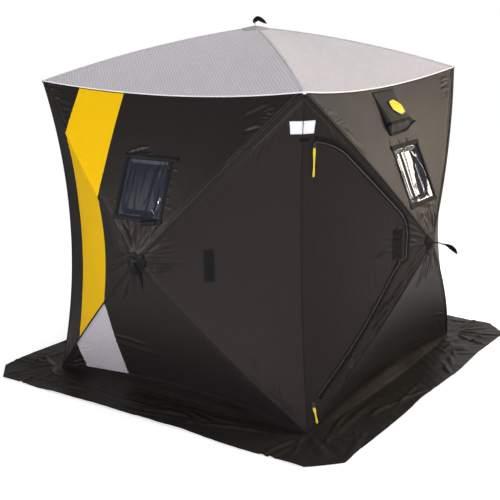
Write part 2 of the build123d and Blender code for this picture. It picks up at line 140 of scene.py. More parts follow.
def circle(count):
    """The cosine and sine of equal steps round a circle."""
    turns = np.arange(count) * 2 * math.pi / count
    return np.stack([np.cos(turns), np.sin(turns)], -1)


def triangle_area(a, b, c):
    return np.linalg.norm(np.cross(b - a, c - a), axis=1).sum() / 2


def spaced(line, step=CLOTH_STEP):
    """The same polyline with points at most a step apart."""
    line = np.asarray(line, float)
    out = [line[:1]]
    for a, b in zip(line[:-1], line[1:]):
        count = max(1, int(math.ceil(np.linalg.norm(b - a) / step)))
        out.append(a + (b - a) * np.arange(1, count + 1)[:, None] / count)
    return np.concatenate(out)


def arc(start, middle, end, count=24):
    """Points on the circle through three flat points."""
    a, b, c = (complex(*point) for point in (start, middle, end))
    ratio = (c - a) / (b - a)
    centre = a + (b - a) * (ratio - abs(ratio) ** 2) / (2j * ratio.imag)
    first, _, last = np.unwrap(np.angle(np.array((a, b, c)) - centre))
    points = centre + abs(a - centre) * np.exp(1j * np.linspace(first, last, count))
    return np.stack([points.real, points.imag], -1)


# ---- creases: each is a soft ridge from one flat point to another, in metres ----
def crease_heights(flat, creases):
    height = np.zeros(len(flat))
    for ua, va, ub, vb, wide, tall in creases:
        run = np.array((ub - ua, vb - va))
        long = math.hypot(*run)
        local = flat - (ua, va)
        along = local @ run / long**2
        near = (along > 0) & (along < 1)
        along = along[near]
        across = (local[near] @ (-run[1], run[0])) / long
        across = across + 0.5 * wide * np.sin(along * 5 + 40 * (ua + vb))
        width = wide * (0.65 + 0.35 * smooth(along * 2) * smooth(2 - along * 2))
        x = across / width
        shape = np.exp(-(x**2)) - 0.45 * np.exp(-((x - 1.7) ** 2)) - 0.3 * np.exp(-((x + 1.6) ** 2))
        height[near] += tall * smooth(along / 0.3) * smooth((1 - along) / 0.35) * shape
    return height


def swell(flat, size, seed):
    """Slow waves in every direction, between about -1 and 1."""
    rng = np.random.default_rng(seed)
    total = np.zeros(len(flat))
    for _ in range(9):
        way, phase = rng.uniform(0, math.pi), rng.uniform(0, 2 * math.pi)
        wave = 2 * math.pi / (size * rng.uniform(0.7, 1.6))
        total += np.sin(flat @ (math.cos(way), math.sin(way)) * wave + phase)
    return total / 4.5


def fan(seed, centre, aim, spread, count, start, reach, wide, tall):
    """Creases that run out from a point. Angles are in degrees from the u axis."""
    rng = np.random.default_rng(seed)
    found = []
    for k in range(count):
        angle = math.radians(aim + spread * ((k + rng.uniform(0.1, 0.9)) / count - 0.5) * 2)
        way = np.array((math.cos(angle), math.sin(angle)))
        a = np.array(centre) + way * start * rng.uniform(0.7, 1.5)
        b = a + way * reach * rng.uniform(0.35, 1.0)
        size = rng.uniform(0.6, 1.0)
        found.append((*a, *b, wide * size, tall * size * (1 if rng.uniform() < 0.6 else -0.8)))
    return found


def gathers(seed, start, end, way, count, reach, wide, tall):
    """Short creases that leave a seam, side by side, all about the same way."""
    rng = np.random.default_rng(seed)
    start, end = np.array(start, float), np.array(end, float)
    found = []
    for k in range(count):
        a = start + (end - start) * (k + rng.uniform(0.15, 0.85)) / count
        angle = math.radians(way + rng.uniform(-9, 9))
        b = a + np.array((math.cos(angle), math.sin(angle))) * reach * rng.uniform(0.35, 1.0)
        size = rng.uniform(0.55, 1.0)
        found.append((*a, *b, wide * size, tall * size))
    return found


def mm(creases):
    return [tuple(value / 1000 for value in crease) for crease in creases]


# ---- the bowed panels ----
TOP_LEFT, TOP_RIGHT = (-HALF, -HALF, EAVES), (HALF, -HALF, EAVES)
BOTTOM_LEFT, BOTTOM_RIGHT = (-HALF, -HALF, HEM_LIFT), (HALF, -HALF, HEM_LIFT)
HUB, PEAK = (0, -HALF - HUB_REACH, HUB_HEIGHT), (0, 0, PEAK_HEIGHT)
PANELS = {
    "top": (TOP_LEFT, TOP_RIGHT, HUB, (0, TOP_BOW, -TOP_BOW), (0, -POLE_BOW, 0)),
    "bottom": (BOTTOM_LEFT, BOTTOM_RIGHT, HUB, (0, BOTTOM_BOW, BOTTOM_RISE), (0, -POLE_BOW, 0)),
    "left": (BOTTOM_LEFT, TOP_LEFT, HUB, (CORNER_BOW, CORNER_BOW, 0), (0, -POLE_BOW, 0)),
    "right": (BOTTOM_RIGHT, TOP_RIGHT, HUB, (-CORNER_BOW, CORNER_BOW, 0), (0, -POLE_BOW, 0)),
    "roof": (TOP_LEFT, TOP_RIGHT, PEAK, (0, TOP_BOW, -TOP_BOW), (0, 0, ROOF_BOW)),
}


def weights(x):
    return np.stack([(1 - x) ** 2, 2 * x * (1 - x), x * x], -1)


def slopes(x):
    return np.stack([2 * x - 2, 2 - 4 * x, 2 * x], -1)


class Panel:
    """A stretched panel. u runs along its long seam from the middle, v from the seam to the hub."""

    def __init__(self, kind, side):
        start, end, apex, sag, bow = (turned(x, side) for x in PANELS[kind])
        self.kind, self.side = kind, side
        near, far = apex + HUB_SHARE * (start - apex), apex + HUB_SHARE * (end - apex)
        seam = [start, (start + end) / 2 + 2 * sag, end]
        edge = [near, (near + far) / 2, far]
        poles = [(start + near) / 2 + 2 * bow, (end + far) / 2 + 2 * bow]
        corners = (start + end + near + far) / 4
        heart = (poles[0] + poles[1]) / 2 + (seam[1] + edge[1]) / 2 - corners
        self.grid = np.array([seam, [poles[0], heart, poles[1]], edge])
        self.middle = (start + end) / 2
        self.along = (end - start) / np.linalg.norm(end - start)
        rise = apex - self.middle
        rise = rise - self.along * (rise @ self.along)
        self.long = np.linalg.norm(rise)
        self.down = rise / self.long
        out = np.cross(self.along, self.down)
        self.sign = 1 if out @ (self.middle - (0, 0, HUB_HEIGHT)) > 0 else -1
        self.out = out * self.sign
        self.creases = []
        self.swell = 0.0015 if kind == "roof" else 0.0012

    def surface(self, s, t, across=weights, down=weights):
        """Points at two shares, or with slopes in place of weights how fast they move."""
        return np.einsum("ni,nj,ijk->nk", down(t), across(s), self.grid)

    def flat(self, points):
        local = np.asarray(points) - self.middle
        return np.stack([local @ self.along, local @ self.down], -1)

    def shares(self, flat):
        """The surface's own two shares at flat points, by Newton's method."""
        s, t = np.full(len(flat), 0.5), np.clip(flat[:, 1] / self.long, 0, 1)
        s = s + flat[:, 0] / (2 * HALF * np.maximum(1 - t, 0.1))
        for _ in range(9):
            s, t = np.clip(s, -0.2, 1.2), np.clip(t, -0.2, 1.1)
            miss = self.flat(self.surface(s, t)) - flat
            ds, dt = self.surface(s, t, across=slopes), self.surface(s, t, down=slopes)
            a, b, c, d = ds @ self.along, dt @ self.along, ds @ self.down, dt @ self.down
            det = a * d - b * c
            det = np.where(np.abs(det) < 1e-9, 1e-9, det)
            s = s - (d * miss[:, 0] - b * miss[:, 1]) / det
            t = t - (a * miss[:, 1] - c * miss[:, 0]) / det
        return s, t

    def normal(self, s, t):
        out = np.cross(self.surface(s, t, across=slopes), self.surface(s, t, down=slopes)) * self.sign
        return out / np.maximum(np.linalg.norm(out, axis=1, keepdims=True), 1e-12)

    def seams(self):
        """The outline as four flat polylines: the long seam, a pole, the hub's edge, a pole."""
        ways = []
        for count, start, end in ((140, (0, 0), (1, 0)), (100, (1, 0), (1, 1)), (6, (1, 1), (0, 1)),
                                  (100, (0, 1), (0, 0))):
            ways.append(self.flat(self.surface(*np.linspace(start, end, count + 1).T)))
        return ways

    def outline(self):
        return np.concatenate([way[:-1] for way in self.seams()])

    def height(self, flat):
        """Creases and slow waves that fade out at the seams, and the groove along the pole sleeves."""
        long_seam, right, _, left = self.seams()
        pole = np.minimum(distance(flat, right[::4]), distance(flat, left[::4]))
        edge = np.minimum(pole, distance(flat, long_seam[::4]))
        waves = self.swell * swell(flat, 0.34, SIDES[self.side] * 7 + len(self.kind))
        folds = (crease_heights(flat, self.creases) + waves) * smooth(edge / SEAM_FADE)
        groove = GROOVE_DEEP * np.exp(-(((pole - GROOVE_AT) / GROOVE_WIDE) ** 2))
        return folds - groove * smooth(pole / 0.008)

    def at(self, flat, lift=0.0):
        """Points on the creased surface, or at a height above it."""
        flat = np.asarray(flat, float)
        s, t = self.shares(flat)
        tall = (self.height(flat) + lift)[:, None]
        return self.surface(s, t) + self.normal(s, t) * tall


# ---- meshes ----
def placed(name, data):
    """A new object in the scene."""
    thing = bpy.data.objects.new(name, data)
    bpy.context.scene.collection.objects.link(thing)
    return thing


def mesh_object(name, verts, faces, flat=None):
    mesh = bpy.data.meshes.new(name)
    mesh.from_pydata([tuple(v) for v in verts], [], [tuple(int(i) for i in f) for f in faces])
    mesh.update()
    if flat is not None:
        layer = mesh.uv_layers.new(name="cloth")
        index = np.zeros(len(mesh.loops), int)
        mesh.loops.foreach_get("vertex_index", index)
        layer.data.foreach_set("uv", np.asarray(flat, float)[index].ravel())
    mesh.shade_smooth()
    return placed(name, mesh)


def dress(piece, body, finish, *nodes):
    """Gives a piece its material and its body, and hides the frame's nodes that it stands for."""
    material, slot = finish
    if material:
        piece.data.materials.clear()
        piece.data.materials.append(material)
    if body:
        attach(piece, body)
    if nodes:
        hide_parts(*nodes)


def thicken(piece, thick=CLOTH_THICK):
    """Gives an open sheet its thickness, with a crisp rim."""
    shell = bmesh.new()
    shell.from_mesh(piece.data)
    for edge in shell.edges:
        edge.smooth = not edge.is_boundary
    shell.to_mesh(piece.data)
    shell.free()
    solid = piece.modifiers.new("cloth thickness", "SOLIDIFY")
    solid.thickness = thick
    solid.offset = -1


def grid_faces(index):
    """The four-sided faces of a grid of point numbers."""
    return np.stack([index[:-1, :-1], index[:-1, 1:], index[1:, 1:], index[1:, :-1]], -1).reshape(-1, 4)


def triangle_grid(low, high, step, row_share=0.866):
    """Points of a grid of equal triangles over a rectangle."""
    rows = []
    for k, v in enumerate(np.arange(low[1], high[1], step * row_share)):
        across = np.arange(low[0] + (k % 2) * step / 2, high[0], step)
        rows.append(np.stack([across, np.full(len(across), v)], -1))
    return np.concatenate(rows)


def near_creases(points, creases, spare=0.0):
    """Which points lie beside a crease that is too narrow for the coarse triangles."""
    found = np.zeros(len(points), bool)
    for ua, va, ub, vb, wide, _ in creases:
        if wide < CLOTH_STEP:
            found |= distance(points, np.array(((ua, va), (ub, vb)))) < 2.4 * wide + spare
    return found


def cut(outline, lines=(), step=CLOTH_STEP, creases=()):
    """A flat triangle mesh inside an outline, with edges along the given lines."""
    low, high = outline.min(0), outline.max(0)
    room, fine_room = step * 0.5, FINE_STEP * 0.6       # how far the grids' points stay from a line
    grid, fine = triangle_grid(low, high, step), np.zeros((0, 2))
    if creases:
        grid = grid[~near_creases(grid, creases, fine_room)]
        fine = triangle_grid(low, high, FINE_STEP)
        fine = fine[near_creases(fine, creases)]
    near_edge = np.concatenate([np.full(len(grid), room), np.full(len(fine), fine_room)])
    grid = np.concatenate([grid, fine])
    keep = inside(grid, outline)
    chains = [np.concatenate([outline, outline[:1]])] + [np.asarray(line) for line in lines]
    for chain in chains:
        keep &= distance(grid, chain) > near_edge
    grid = grid[keep]
    points, edges = [], []
    for chain in chains:
        start = len(points)
        points += [tuple(p) for p in chain]
        edges += [(start + k, start + k + 1) for k in range(len(chain) - 1)]
    points += [tuple(p) for p in grid]
    found = geometry.delaunay_2d_cdt([Vector(p) for p in points], edges, [], 0, 2e-5)
    flat = np.array([tuple(v) for v in found[0]])
    faces = np.array([tuple(f) for f in found[2] if len(f) == 3])
    return flat, faces[inside(flat[faces].mean(1), outline)]


def cloth(name, panel, flat, faces, body, finish, *nodes, keep=None, lift=0.0):
    """One cut piece of fabric, laid on its panel.

    keep says which faces of the cut mesh belong to the piece.
    """
    if keep is not None:
        faces = faces[keep]
        used, index = np.unique(faces, return_inverse=True)
        flat, faces = flat[used], index.reshape(faces.shape)
    order = faces if panel.sign > 0 else faces[:, ::-1]
    points = panel.at(flat, lift)
    piece = mesh_object(name, points, order, flat)
    dress(piece, body, finish, *nodes)
    thicken(piece)
    area = triangle_area(*(points[order[:, k]] for k in range(3)))
    # the flat size is a rectangle that the piece fills by at least a third, and no more than wholly
    size = np.maximum(np.ptp(flat, axis=0), 0.011)
    share = area / (size[0] * size[1])
    if not 0.31 <= share <= 1:
        size[1] *= share if share > 1 else share / 0.5
    return piece


class Parts:
    """Collects closed strips and tubes that share a finish, and makes one piece of them."""

    def __init__(self):
        self.verts, self.faces, self.flat = [], [], []

    def loft(self, rings, line=None, across=None):
        """A closed skin over rings of points. Its cloth runs along the line, at places across it."""
        rings = np.asarray(rings)
        rows, around = rings.shape[:2]
        base = sum(map(len, self.verts))
        self.verts.append(rings.reshape(-1, 3))
        flat = np.zeros((rows, around, 2))
        if line is not None:
            flat[1:, :, 0] = np.cumsum(np.linalg.norm(np.diff(line, axis=0), axis=1))[:, None]
            flat[:, :, 1] = across
        self.flat.append(flat.reshape(-1, 2))
        index = base + np.arange(rows * around).reshape(rows, around)
        self.faces += [*grid_faces(np.concatenate([index, index[:, :1]], 1)), index[0, ::-1], index[-1]]

    def strip(self, panel, line, wide, thick, lift=0.0004, crown=0.4):
        """A flat tape along a line on a panel, a little thicker in its middle."""
        across = np.array((-0.5, -0.5, -0.25, 0.0, 0.25, 0.5, 0.5)) * wide
        tall = lift + thick * np.array((0.0, 0.6, 1.0, 1.0 + crown, 1.0, 0.6, 0.0))
        self.loft(np.stack([panel.at(beside(line, a), t) for a, t in zip(across, tall)], 1), line, across)

    def tube(self, line, radius, around=6):
        """A round bar along points in space."""
        line = np.asarray(line, float)
        way = headings(line)
        hint = (0.13, 0.21, 0.97) if abs(way[len(way) // 2][2]) < 0.9 else (0.97, 0.13, 0.2)
        side = np.cross(way, hint)
        side /= np.linalg.norm(side, axis=1, keepdims=True)
        up = np.cross(way, side)
        rings = [line + (side * c + up * s) * radius for c, s in circle(around)]
        self.loft(np.stack(rings, 1), line, np.arange(around) * 0.001)

    def piece(self, name, body, finish, *nodes):
        made = mesh_object(name, np.concatenate(self.verts), self.faces, np.concatenate(self.flat))
        shell = bmesh.new()
        shell.from_mesh(made.data)
        bmesh.ops.recalc_face_normals(shell, faces=shell.faces)
        shell.to_mesh(made.data)
        shell.free()
        dress(made, body, finish, *nodes)


# ---- nodes ----
def add(tree, kind, inputs=(), **settings):
    """Adds a node with its settings, and its inputs set to values or joined to sockets.

    A kind without "Node" in it is a shader node's. A node given as an input is its first output.
    """
    node = tree.nodes.new(kind if "Node" in kind else "ShaderNode" + kind)
    for name, value in settings.items():
        setattr(node, name, value)
    for key, value in dict(inputs).items():
        value = value.outputs[0] if isinstance(value, bpy.types.Node) else value
        if isinstance(value, bpy.types.NodeSocket):
            tree.links.new(value, node.inputs[key])
        else:
            node.inputs[key].default_value = value
    return node


def linear(code):
    """An sRGB hex colour as linear light."""
    values = [int(code[k:k + 2], 16) / 255 for k in (1, 3, 5)]
    return tuple(v / 12.92 if v <= 0.04045 else ((v + 0.055) / 1.055) ** 2.4 for v in values) + (1.0,)


def new_material(name):
    material = bpy.data.materials.new(name)
    material.use_nodes = True
    material.node_tree.nodes.clear()
    return material, material.node_tree


def finished(material, inputs):
    """Ends a material with one Principled shader."""
    add(material.node_tree, "OutputMaterial", {
        "Surface": add(material.node_tree, "BsdfPrincipled", inputs)})
    return material


BAND_MM = 314.0    # a Wave Texture's bands repeat every 0.314 / scale, so this over a pitch gives the scale
BLOTCH_MM = 160    # how wide the pale and dark patches of a cloth are


def woven(name, dark, light, roughness, weave_mm=6.0, relief=0.0004, specular=0.3, sheen=0.0, streak=0.35,
          crinkle=0.0011, shine="#ffffff"):
    """Coated polyester cloth. Its yarn is under 1 mm, so the weave is drawn coarser, to show at all."""
    material, tree = new_material(name)
    place = add(tree, "UVMap", uv_map="cloth").outputs[0]
    yarns = [add(tree, "TexWave", {"Vector": place, "Scale": BAND_MM / pitch, "Distortion": 1.2,
                                   "Detail": 2.0, "Detail Scale": 3.0}, bands_direction=way).outputs["Fac"]
             for way, pitch in (("X", weave_mm), ("Y", weave_mm * 1.15))]
    weave = add(tree, "Math", dict(enumerate(yarns)), operation="ADD")
    blotch = add(tree, "TexNoise", {"Vector": place, "Scale": 1000 / BLOTCH_MM, "Detail": 3.0,
                                    "Roughness": 0.6})
    stretch = add(tree, "Mapping", {"Vector": place, "Scale": (9.0, 1.3, 1.0)})
    slub = add(tree, "TexNoise", {"Vector": stretch, "Scale": 18.0, "Detail": 5.0, "Roughness": 0.7})
    tone = add(tree, "Math", {0: blotch.outputs["Fac"], 1: slub.outputs["Fac"]}, operation="ADD")
    tone = add(tree, "Math", {0: tone, 1: weave}, operation="ADD")
    share = add(tree, "MapRange", {"Value": tone, "From Min": 1.2, "From Max": 2.8, "To Min": 0.5 - streak,
                                   "To Max": 0.5 + streak})
    colour = add(tree, "Mix", {0: share, 6: linear(dark), 7: linear(light)}, data_type="RGBA")
    fine = add(tree, "Bump", {"Height": weave, "Distance": relief, "Strength": 0.6})
    ripple = add(tree, "TexNoise", {"Vector": place, "Scale": 34.0, "Detail": 3.0, "Roughness": 0.55,
                                    "Distortion": 0.6}).outputs["Fac"]
    bump = add(tree, "Bump", {"Height": ripple, "Distance": crinkle, "Strength": 1.0, "Normal": fine})
    return finished(material, {
        "Base Color": colour.outputs[2], "Normal": bump, "Roughness": roughness,
        "Specular IOR Level": specular, "Specular Tint": linear(shine), "Sheen Weight": sheen,
        "Sheen Roughness": 0.45})


def ripstop(name, dark, light):
    """Coated cloth with raised diagonal ribs. They are 5 mm apart, and drawn three times coarser, to show."""
    material, tree = new_material(name)
    place = add(tree, "UVMap", uv_map="cloth").outputs[0]
    ribs = []
    for lean_deg, pitch in ((44, 15.0), (-44, 15.6)):
        way = add(tree, "Mapping", {"Vector": place, "Rotation": (0, 0, math.radians(lean_deg))})
        rib = add(tree, "TexWave", {"Vector": way, "Scale": BAND_MM / pitch, "Distortion": 2.6, "Detail": 3.0,
                                    "Detail Scale": 1.6}, bands_direction="X")
        ribs.append(rib.outputs["Fac"])
    ribs = add(tree, "Math", dict(enumerate(ribs)), operation="ADD")
    blotch = add(tree, "TexNoise", {"Vector": place, "Scale": 9.0, "Detail": 5.0, "Roughness": 0.65})
    tone = add(tree, "Math", {0: blotch.outputs["Fac"], 1: 0.9, 2: ribs}, operation="MULTIPLY_ADD")
    share = add(tree, "MapRange", {"Value": tone, "From Min": 0.55, "From Max": 2.2})
    colour = add(tree, "Mix", {0: share, 6: linear(dark), 7: linear(light)}, data_type="RGBA")
    fine = add(tree, "Bump", {"Height": ribs, "Distance": 0.0011, "Strength": 0.7})
    ripple = add(tree, "TexNoise", {"Vector": place, "Scale": 22.0, "Detail": 3.0})
    bump = add(tree, "Bump", {"Height": ripple.outputs["Fac"], "Distance": 0.0012, "Normal": fine})
    return finished(material, {
        "Base Color": colour.outputs[2], "Normal": bump, "Roughness": 0.6, "Specular IOR Level": 0.12})


def plain(name, code, roughness, specular=0.5, grain_mm=3.0, relief=0.0002, **more):
    """A moulded or printed finish with a fine grain."""
    material, tree = new_material(name)
    place = add(tree, "TexCoord").outputs["Object"]
    grain = add(tree, "TexNoise", {"Vector": place, "Scale": 1000 / grain_mm, "Detail": 2.0})
    bump = add(tree, "Bump", {"Height": grain.outputs["Fac"], "Distance": relief, "Strength": 0.7})
    return finished(material, {
        "Base Color": linear(code), "Normal": bump, "Roughness": roughness,
        "Specular IOR Level": specular, **more})


# ---- finishes, each with the slot that it fills ----
# Black oxford polyester, woven and coated on its back: nearly black, with a faint warm shine on folds.
WALL = (woven("black oxford polyester", "#1a1818", "#272423", 0.46, specular=0.125, shine="#ffe9d6"),
        "wall_fabric")
# The flap over the vent is a duller, denser cloth than the walls.
HOOD_CLOTH = (woven("dull black polyester", "#262524", "#343231", 0.6, specular=0.12, sheen=0.02),
              "wall_fabric")
# Silver coated roof cloth: pale, a little mottled, with a faint diagonal grid.
ROOF = (ripstop("silver coated ripstop", "#aea9b0", "#cfcbcd"), "roof_fabric")
CAP_CLOTH = (ripstop("grey roof patch", "#a39fa2", "#bfbbbc"), "webbing")
# The stripe is the walls' cloth in a warm yellow, matt and even.
STRIPE_CLOTH = (woven("yellow oxford polyester", "#f8c200", "#ffcd00", 0.75, specular=0.06, streak=0.25,
                      crinkle=0.0006), "stripe_fabric")
# The skirt is heavier and more crinkled than the walls, and shines along its folds.
SKIRT_CLOTH = (woven("heavy black polyester", "#1f1d1b", "#2e2b28", 0.48, specular=0.13, crinkle=0.0014,
                     shine="#ffe9d2"), "skirt_fabric")
# Tapes and webbing are dense and dull, so they read as the darkest lines.
BINDING = (woven("black woven binding tape", "#0c0b0b", "#151413", 0.65, weave_mm=5, specular=0.1,
                 crinkle=0.0003), "binding")
WEBBING = (woven("ribbed black webbing", "#0a0909", "#141212", 0.6, weave_mm=5, relief=0.0009, specular=0.08,
                 crinkle=0.0002), "webbing")
ZIP_TAPE = (woven("black zip tape", "#141312", "#1f1d1c", 0.6, weave_mm=4, specular=0.12, crinkle=0.0002),
            "zip_tape")
# The patches over the hubs are a doubled cloth, in a darker black than the walls'.
PATCH_CLOTH = (woven("doubled black polyester", "#0f0e0d", "#191716", 0.55, specular=0.1, crinkle=0.0004),
               "webbing")
# Clear PVC film, pressed smooth: a sharp shine in long ripples, over a dark blue-grey base that is painted
# shade for the unlit inside; a little of the real inside shows through.
VINYL = (plain("clear vinyl film", "#2c303c", 0.06, 0.5, grain_mm=70, relief=0.0004,
               **{"Transmission Weight": 0.3, "Coat Weight": 0.3, "Coat Roughness": 0.04, "IOR": 1.45}),
         "clear_vinyl")
# Trim: a soft white welt, a brighter tape with a coarse grain, and matt rubber.
WHITE_PIPING = (plain("white vinyl piping", "#f2f0ee", 0.45, 0.4), "roof_fabric")
TAPE = (plain("white reflective tape", "#f0f2f6", 0.35, 0.5, grain_mm=5, relief=0.0005), "reflective_tape")
PULL = (plain("yellow rubber pull tab", "#dcc51e", 0.45, 0.4), "pull_tab")
BADGE_FACE = (plain("yellow rubber badge", "#e6d32e", 0.5, 0.3), "stripe_fabric")
# Threads, cords and the zip's coil are drawn a little paler than the cloth, which picks the seams out; their
# paleness is partly a painted highlight, for the light that raised seams and the coil catch.
ZIP_COIL = plain("grey nylon coil", "#494644", 0.45, 0.4)
THREAD = plain("dark grey polyester thread", "#3a3735", 0.6, 0.2)
PALE_THREAD = plain("pale grey polyester thread", "#a9a6a8", 0.6, 0.2)
SEAM_CORD = (plain("taped seam edge", "#3b3836", 0.45, 0.3), "wall_fabric")
STEM = (plain("pale cord", "#b9b2a6", 0.6, 0.2), "webbing")
# The frame's own finishes: satin black nylon, glossy cream rod, and dull netting.
MOULD = plain("black moulded nylon", "#181818", 0.5, 0.4, grain_mm=2)
ROD = plain("cream fibreglass rod", "#bdb196", 0.35, 0.5, grain_mm=6)
MESH = plain("black vent netting", "#0e0e0e", 0.8, 0.2)


# ---- the panels and their creases ----
PANEL = {(kind, side): Panel(kind, side) for kind in PANELS for side in SIDES}
DOOR = PANEL["left", "front"]
SEEDS = {"top": 1, "bottom": 2, "left": 3, "right": 4, "roof": 5}

# gathers along the seams, in mm: added to the seed; start, end, way, count, reach, half width and height
SIDE_GATHERS = (
    (20, (-820, 30), (-560, 290), 20, 9, 150, 8, 3), (21, (820, 30), (560, 290), 160, 9, 150, 8, 3))
GATHERS = {
    "roof": ((0, (-820, 20), (-700, 60), 15, 4, 160, 9, 2), (9, (820, 20), (700, 60), 165, 4, 160, 9, 2)),
    "top": (
        (20, (-850, 30), (-640, 230), 4, 9, 150, 9, 2.6), (21, (850, 30), (640, 230), 176, 7, 130, 10, 2),
        (22, (-140, 380), (160, 370), -100, 7, 60, 6, 3), (23, (-120, 715), (120, 715), 90, 8, 150, 8, 4),
        (24, (-150, 420), (-150, 690), 170, 6, 60, 7, 2), (25, (150, 420), (150, 690), 10, 6, 60, 7, 2)),
    "bottom": (
        (20, (-820, 40), (-560, 300), 10, 9, 170, 9, 3.2), (21, (820, 40), (560, 300), 170, 9, 170, 9, 3.2),
        (22, (-700, -20), (700, -20), 90, 16, 110, 9, 2.6)),
    "left": SIDE_GATHERS, "right": SIDE_GATHERS,
}
for (kind, side), panel in PANEL.items():
    seed = 100 * SIDES[side] + SEEDS[kind]
    if kind != "roof":
        panel.creases += fan(seed, (0, panel.long), -90, 38, 9, 0.05, 0.30, 0.011, 0.0042)
    for more, start, end, way, count, *size in GATHERS[kind]:
        if (kind, side, more) == ("top", "front", 21):
            count = 3       # this corner has folds of its own
        panel.creases += mm(gathers(seed + more, start, end, way, count, *size))

# folds that stand out on the two near walls, in mm: from u, v to u, v, then half width and height
OWN_CREASES = {
    ("left", "front"): [
        (-374, 470, -235, 680, 13, 9), (-402, 484, -280, 655, 10, 6), (-466, 410, -455, 470, 9, 5),
        (-500, 330, -625, 262, 11, 6), (-610, 265, -745, 125, 13, 9), (-40, 490, -8, 640, 10, 6),
        (-128, 610, -78, 700, 10, 7), (-326, 436, -250, 528, 7, 4), (-424, 430, -385, 516, 8, 5),
        (-680, 100, -590, 165, 8, 4), (-560, 300, -470, 420, 8, -4), (60, 560, 40, 700, 9, 4),
        (-300, 600, -180, 760, 9, 5), (-60, 735, -30, 800, 8, 5), (20, 740, 10, 810, 8, 5)],
    ("top", "front"): [
        (-640, 222, -540, 300, 17, 5), (-575, 290, -468, 372, 15, -4), (672, 60, 775, 66, 9, 3.5),
        (650, 88, 756, 84, 9, 3.5), (636, 122, 722, 124, 10, 3), (-125, 322, -176, 395, 8, 3),
        (-37, 330, -32, 392, 9, 3.5), (60, 330, 50, 385, 8, 3), (-114, 706, 140, 742, 13, 4),
        (-62, 770, 100, 762, 12, 3), (-172, 400, -146, 640, 9, 3)],
    ("top", "left"): [
        (655, 95, 752, 84, 8, 5), (668, 116, 728, 108, 7, 4), (645, 140, 722, 126, 8, 5),
        (625, 162, 714, 143, 8, 4), (560, 192, 690, 174, 10, 5), (-860, 6, -730, 26, 8, 4),
        (-830, 38, -728, 54, 8, 5), (-798, 56, -720, 74, 7, 4), (-775, 76, -715, 110, 7, 5),
        (-190, 362, -14, 316, 9, 4), (-150, 376, 20, 352, 9, 4), (-201, 740, -100, 850, 9, 6),
        (-111, 742, -42, 850, 9, 6), (168, 700, 90, 830, 10, 5), (60, 740, 30, 850, 8, 4),
        (-20, 760, -12, 860, 8, 5), (520, 120, 700, 60, 12, 4)],
    ("bottom", "left"): [
        (-780, 40, -660, 110, 10, 6), (-760, 70, -640, 190, 9, 5), (-800, 20, -640, 50, 9, 5),
        (-420, 330, 20, 250, 14, 4), (-400, 360, -60, 330, 12, 4), (480, 400, 640, 250, 9, 4),
        (600, 290, 790, 90, 10, 5)],
    ("right", "left"): [
        (-640, 250, -800, 70, 10, 6), (-700, 160, -830, 40, 8, 5), (-560, 330, -660, 230, 9, 4),
        (-40, 700, -60, 860, 9, 5), (60, 690, 20, 850, 9, 4)],
}
for key, folds in OWN_CREASES.items():
    PANEL[key].creases += mm(folds)


def door_line():
    """The zip's line, from the top of the fold round to its foot, in metres."""
    runs = [arc(*DOOR_ARC), DOOR_SLOPE, arc(*DOOR_TURN), DOOR_LATCH, arc(*DOOR_BELLY)]
    return spaced(np.concatenate([run[1 if k else 0:] for k, run in enumerate(runs)]) / 1000)


ZIP_LINE = door_line()
FOLD = spaced([(-0.722, FOLD_LINE), (0.632, FOLD_LINE)])
for row in ((501, (-700, 150), (-330, 560), 52, 9, 260, 10, 3.4),
            (502, (-330, 520), (-150, 760), 62, 6, 200, 9, 4.2),
            (503, (40, 700), (150, 690), 250, 5, 160, 10, 3.5)):
    DOOR.creases += mm(gathers(*row))


# ---- the walls and the roof, cut and laid ----
def rectangle(middle_u, middle_v, wide, tall):
    corners = [(-1, -1), (1, -1), (1, 1), (-1, 1), (-1, -1)]
    return spaced([(middle_u + a * wide / 2, middle_v + b * tall / 2) for a, b in corners])


def upright_edge(panel, x, rows=100, steps=60):
    """Where an upright plane at a distance from the wall's middle meets the panel."""
    found = []
    v = np.linspace(0, 0.95, steps)
    for u in np.linspace(-0.87, 0.87, rows):
        row = panel.surface(*panel.shares(np.stack([np.full(steps, u), v], -1)))
        place = turned(row, TO_FRONT[panel.side])
        if place[0, 0] < x < place[-1, 0]:
            found.append((u, np.interp(x, place[:, 0], v)))
    return np.array(found)


def between(places, lines, axis, beyond=None):
    """Which places lie between two lines that run along an axis of the panel: 0 for u, 1 for v."""
    high, low = (np.interp(places[:, axis], line[:, axis], line[:, 1 - axis], left=beyond, right=beyond)
                 for line in lines)
    return (places[:, 1 - axis] < high) & (places[:, 1 - axis] > low)


def lay(panel, rest, holes=(), band=None, lines=(), axis=1, beyond=None):
    """Cuts a panel and lays its cloth, with a band of another finish between two lines if it has one.

    rest and band are a piece's name, its finish and the node that it stands for.
    """
    flat, faces = cut(panel.outline(), [*holes, *lines], creases=panel.creases)
    middle = flat[faces].mean(1)
    solid = np.ones(len(faces), bool)
    for hole in holes:
        solid &= ~inside(middle, hole)
    if band:
        in_band = solid & between(middle, lines, axis, beyond)
        solid &= ~in_band
        name, *labels = band
        cloth(name, panel, flat, faces, "root", *labels, keep=in_band)
    name, *labels = rest
    cloth(name, panel, flat, faces, "root", *labels, keep=solid)


def stripe_lines(panel, *points):
    """The stripe's two edges on a panel: points are (u past the edge, v)."""
    lines = (spaced([(u - x, v) for u, v in points]) for x in STRIPE)
    return [line[inside(line, panel.outline())] for line in lines]


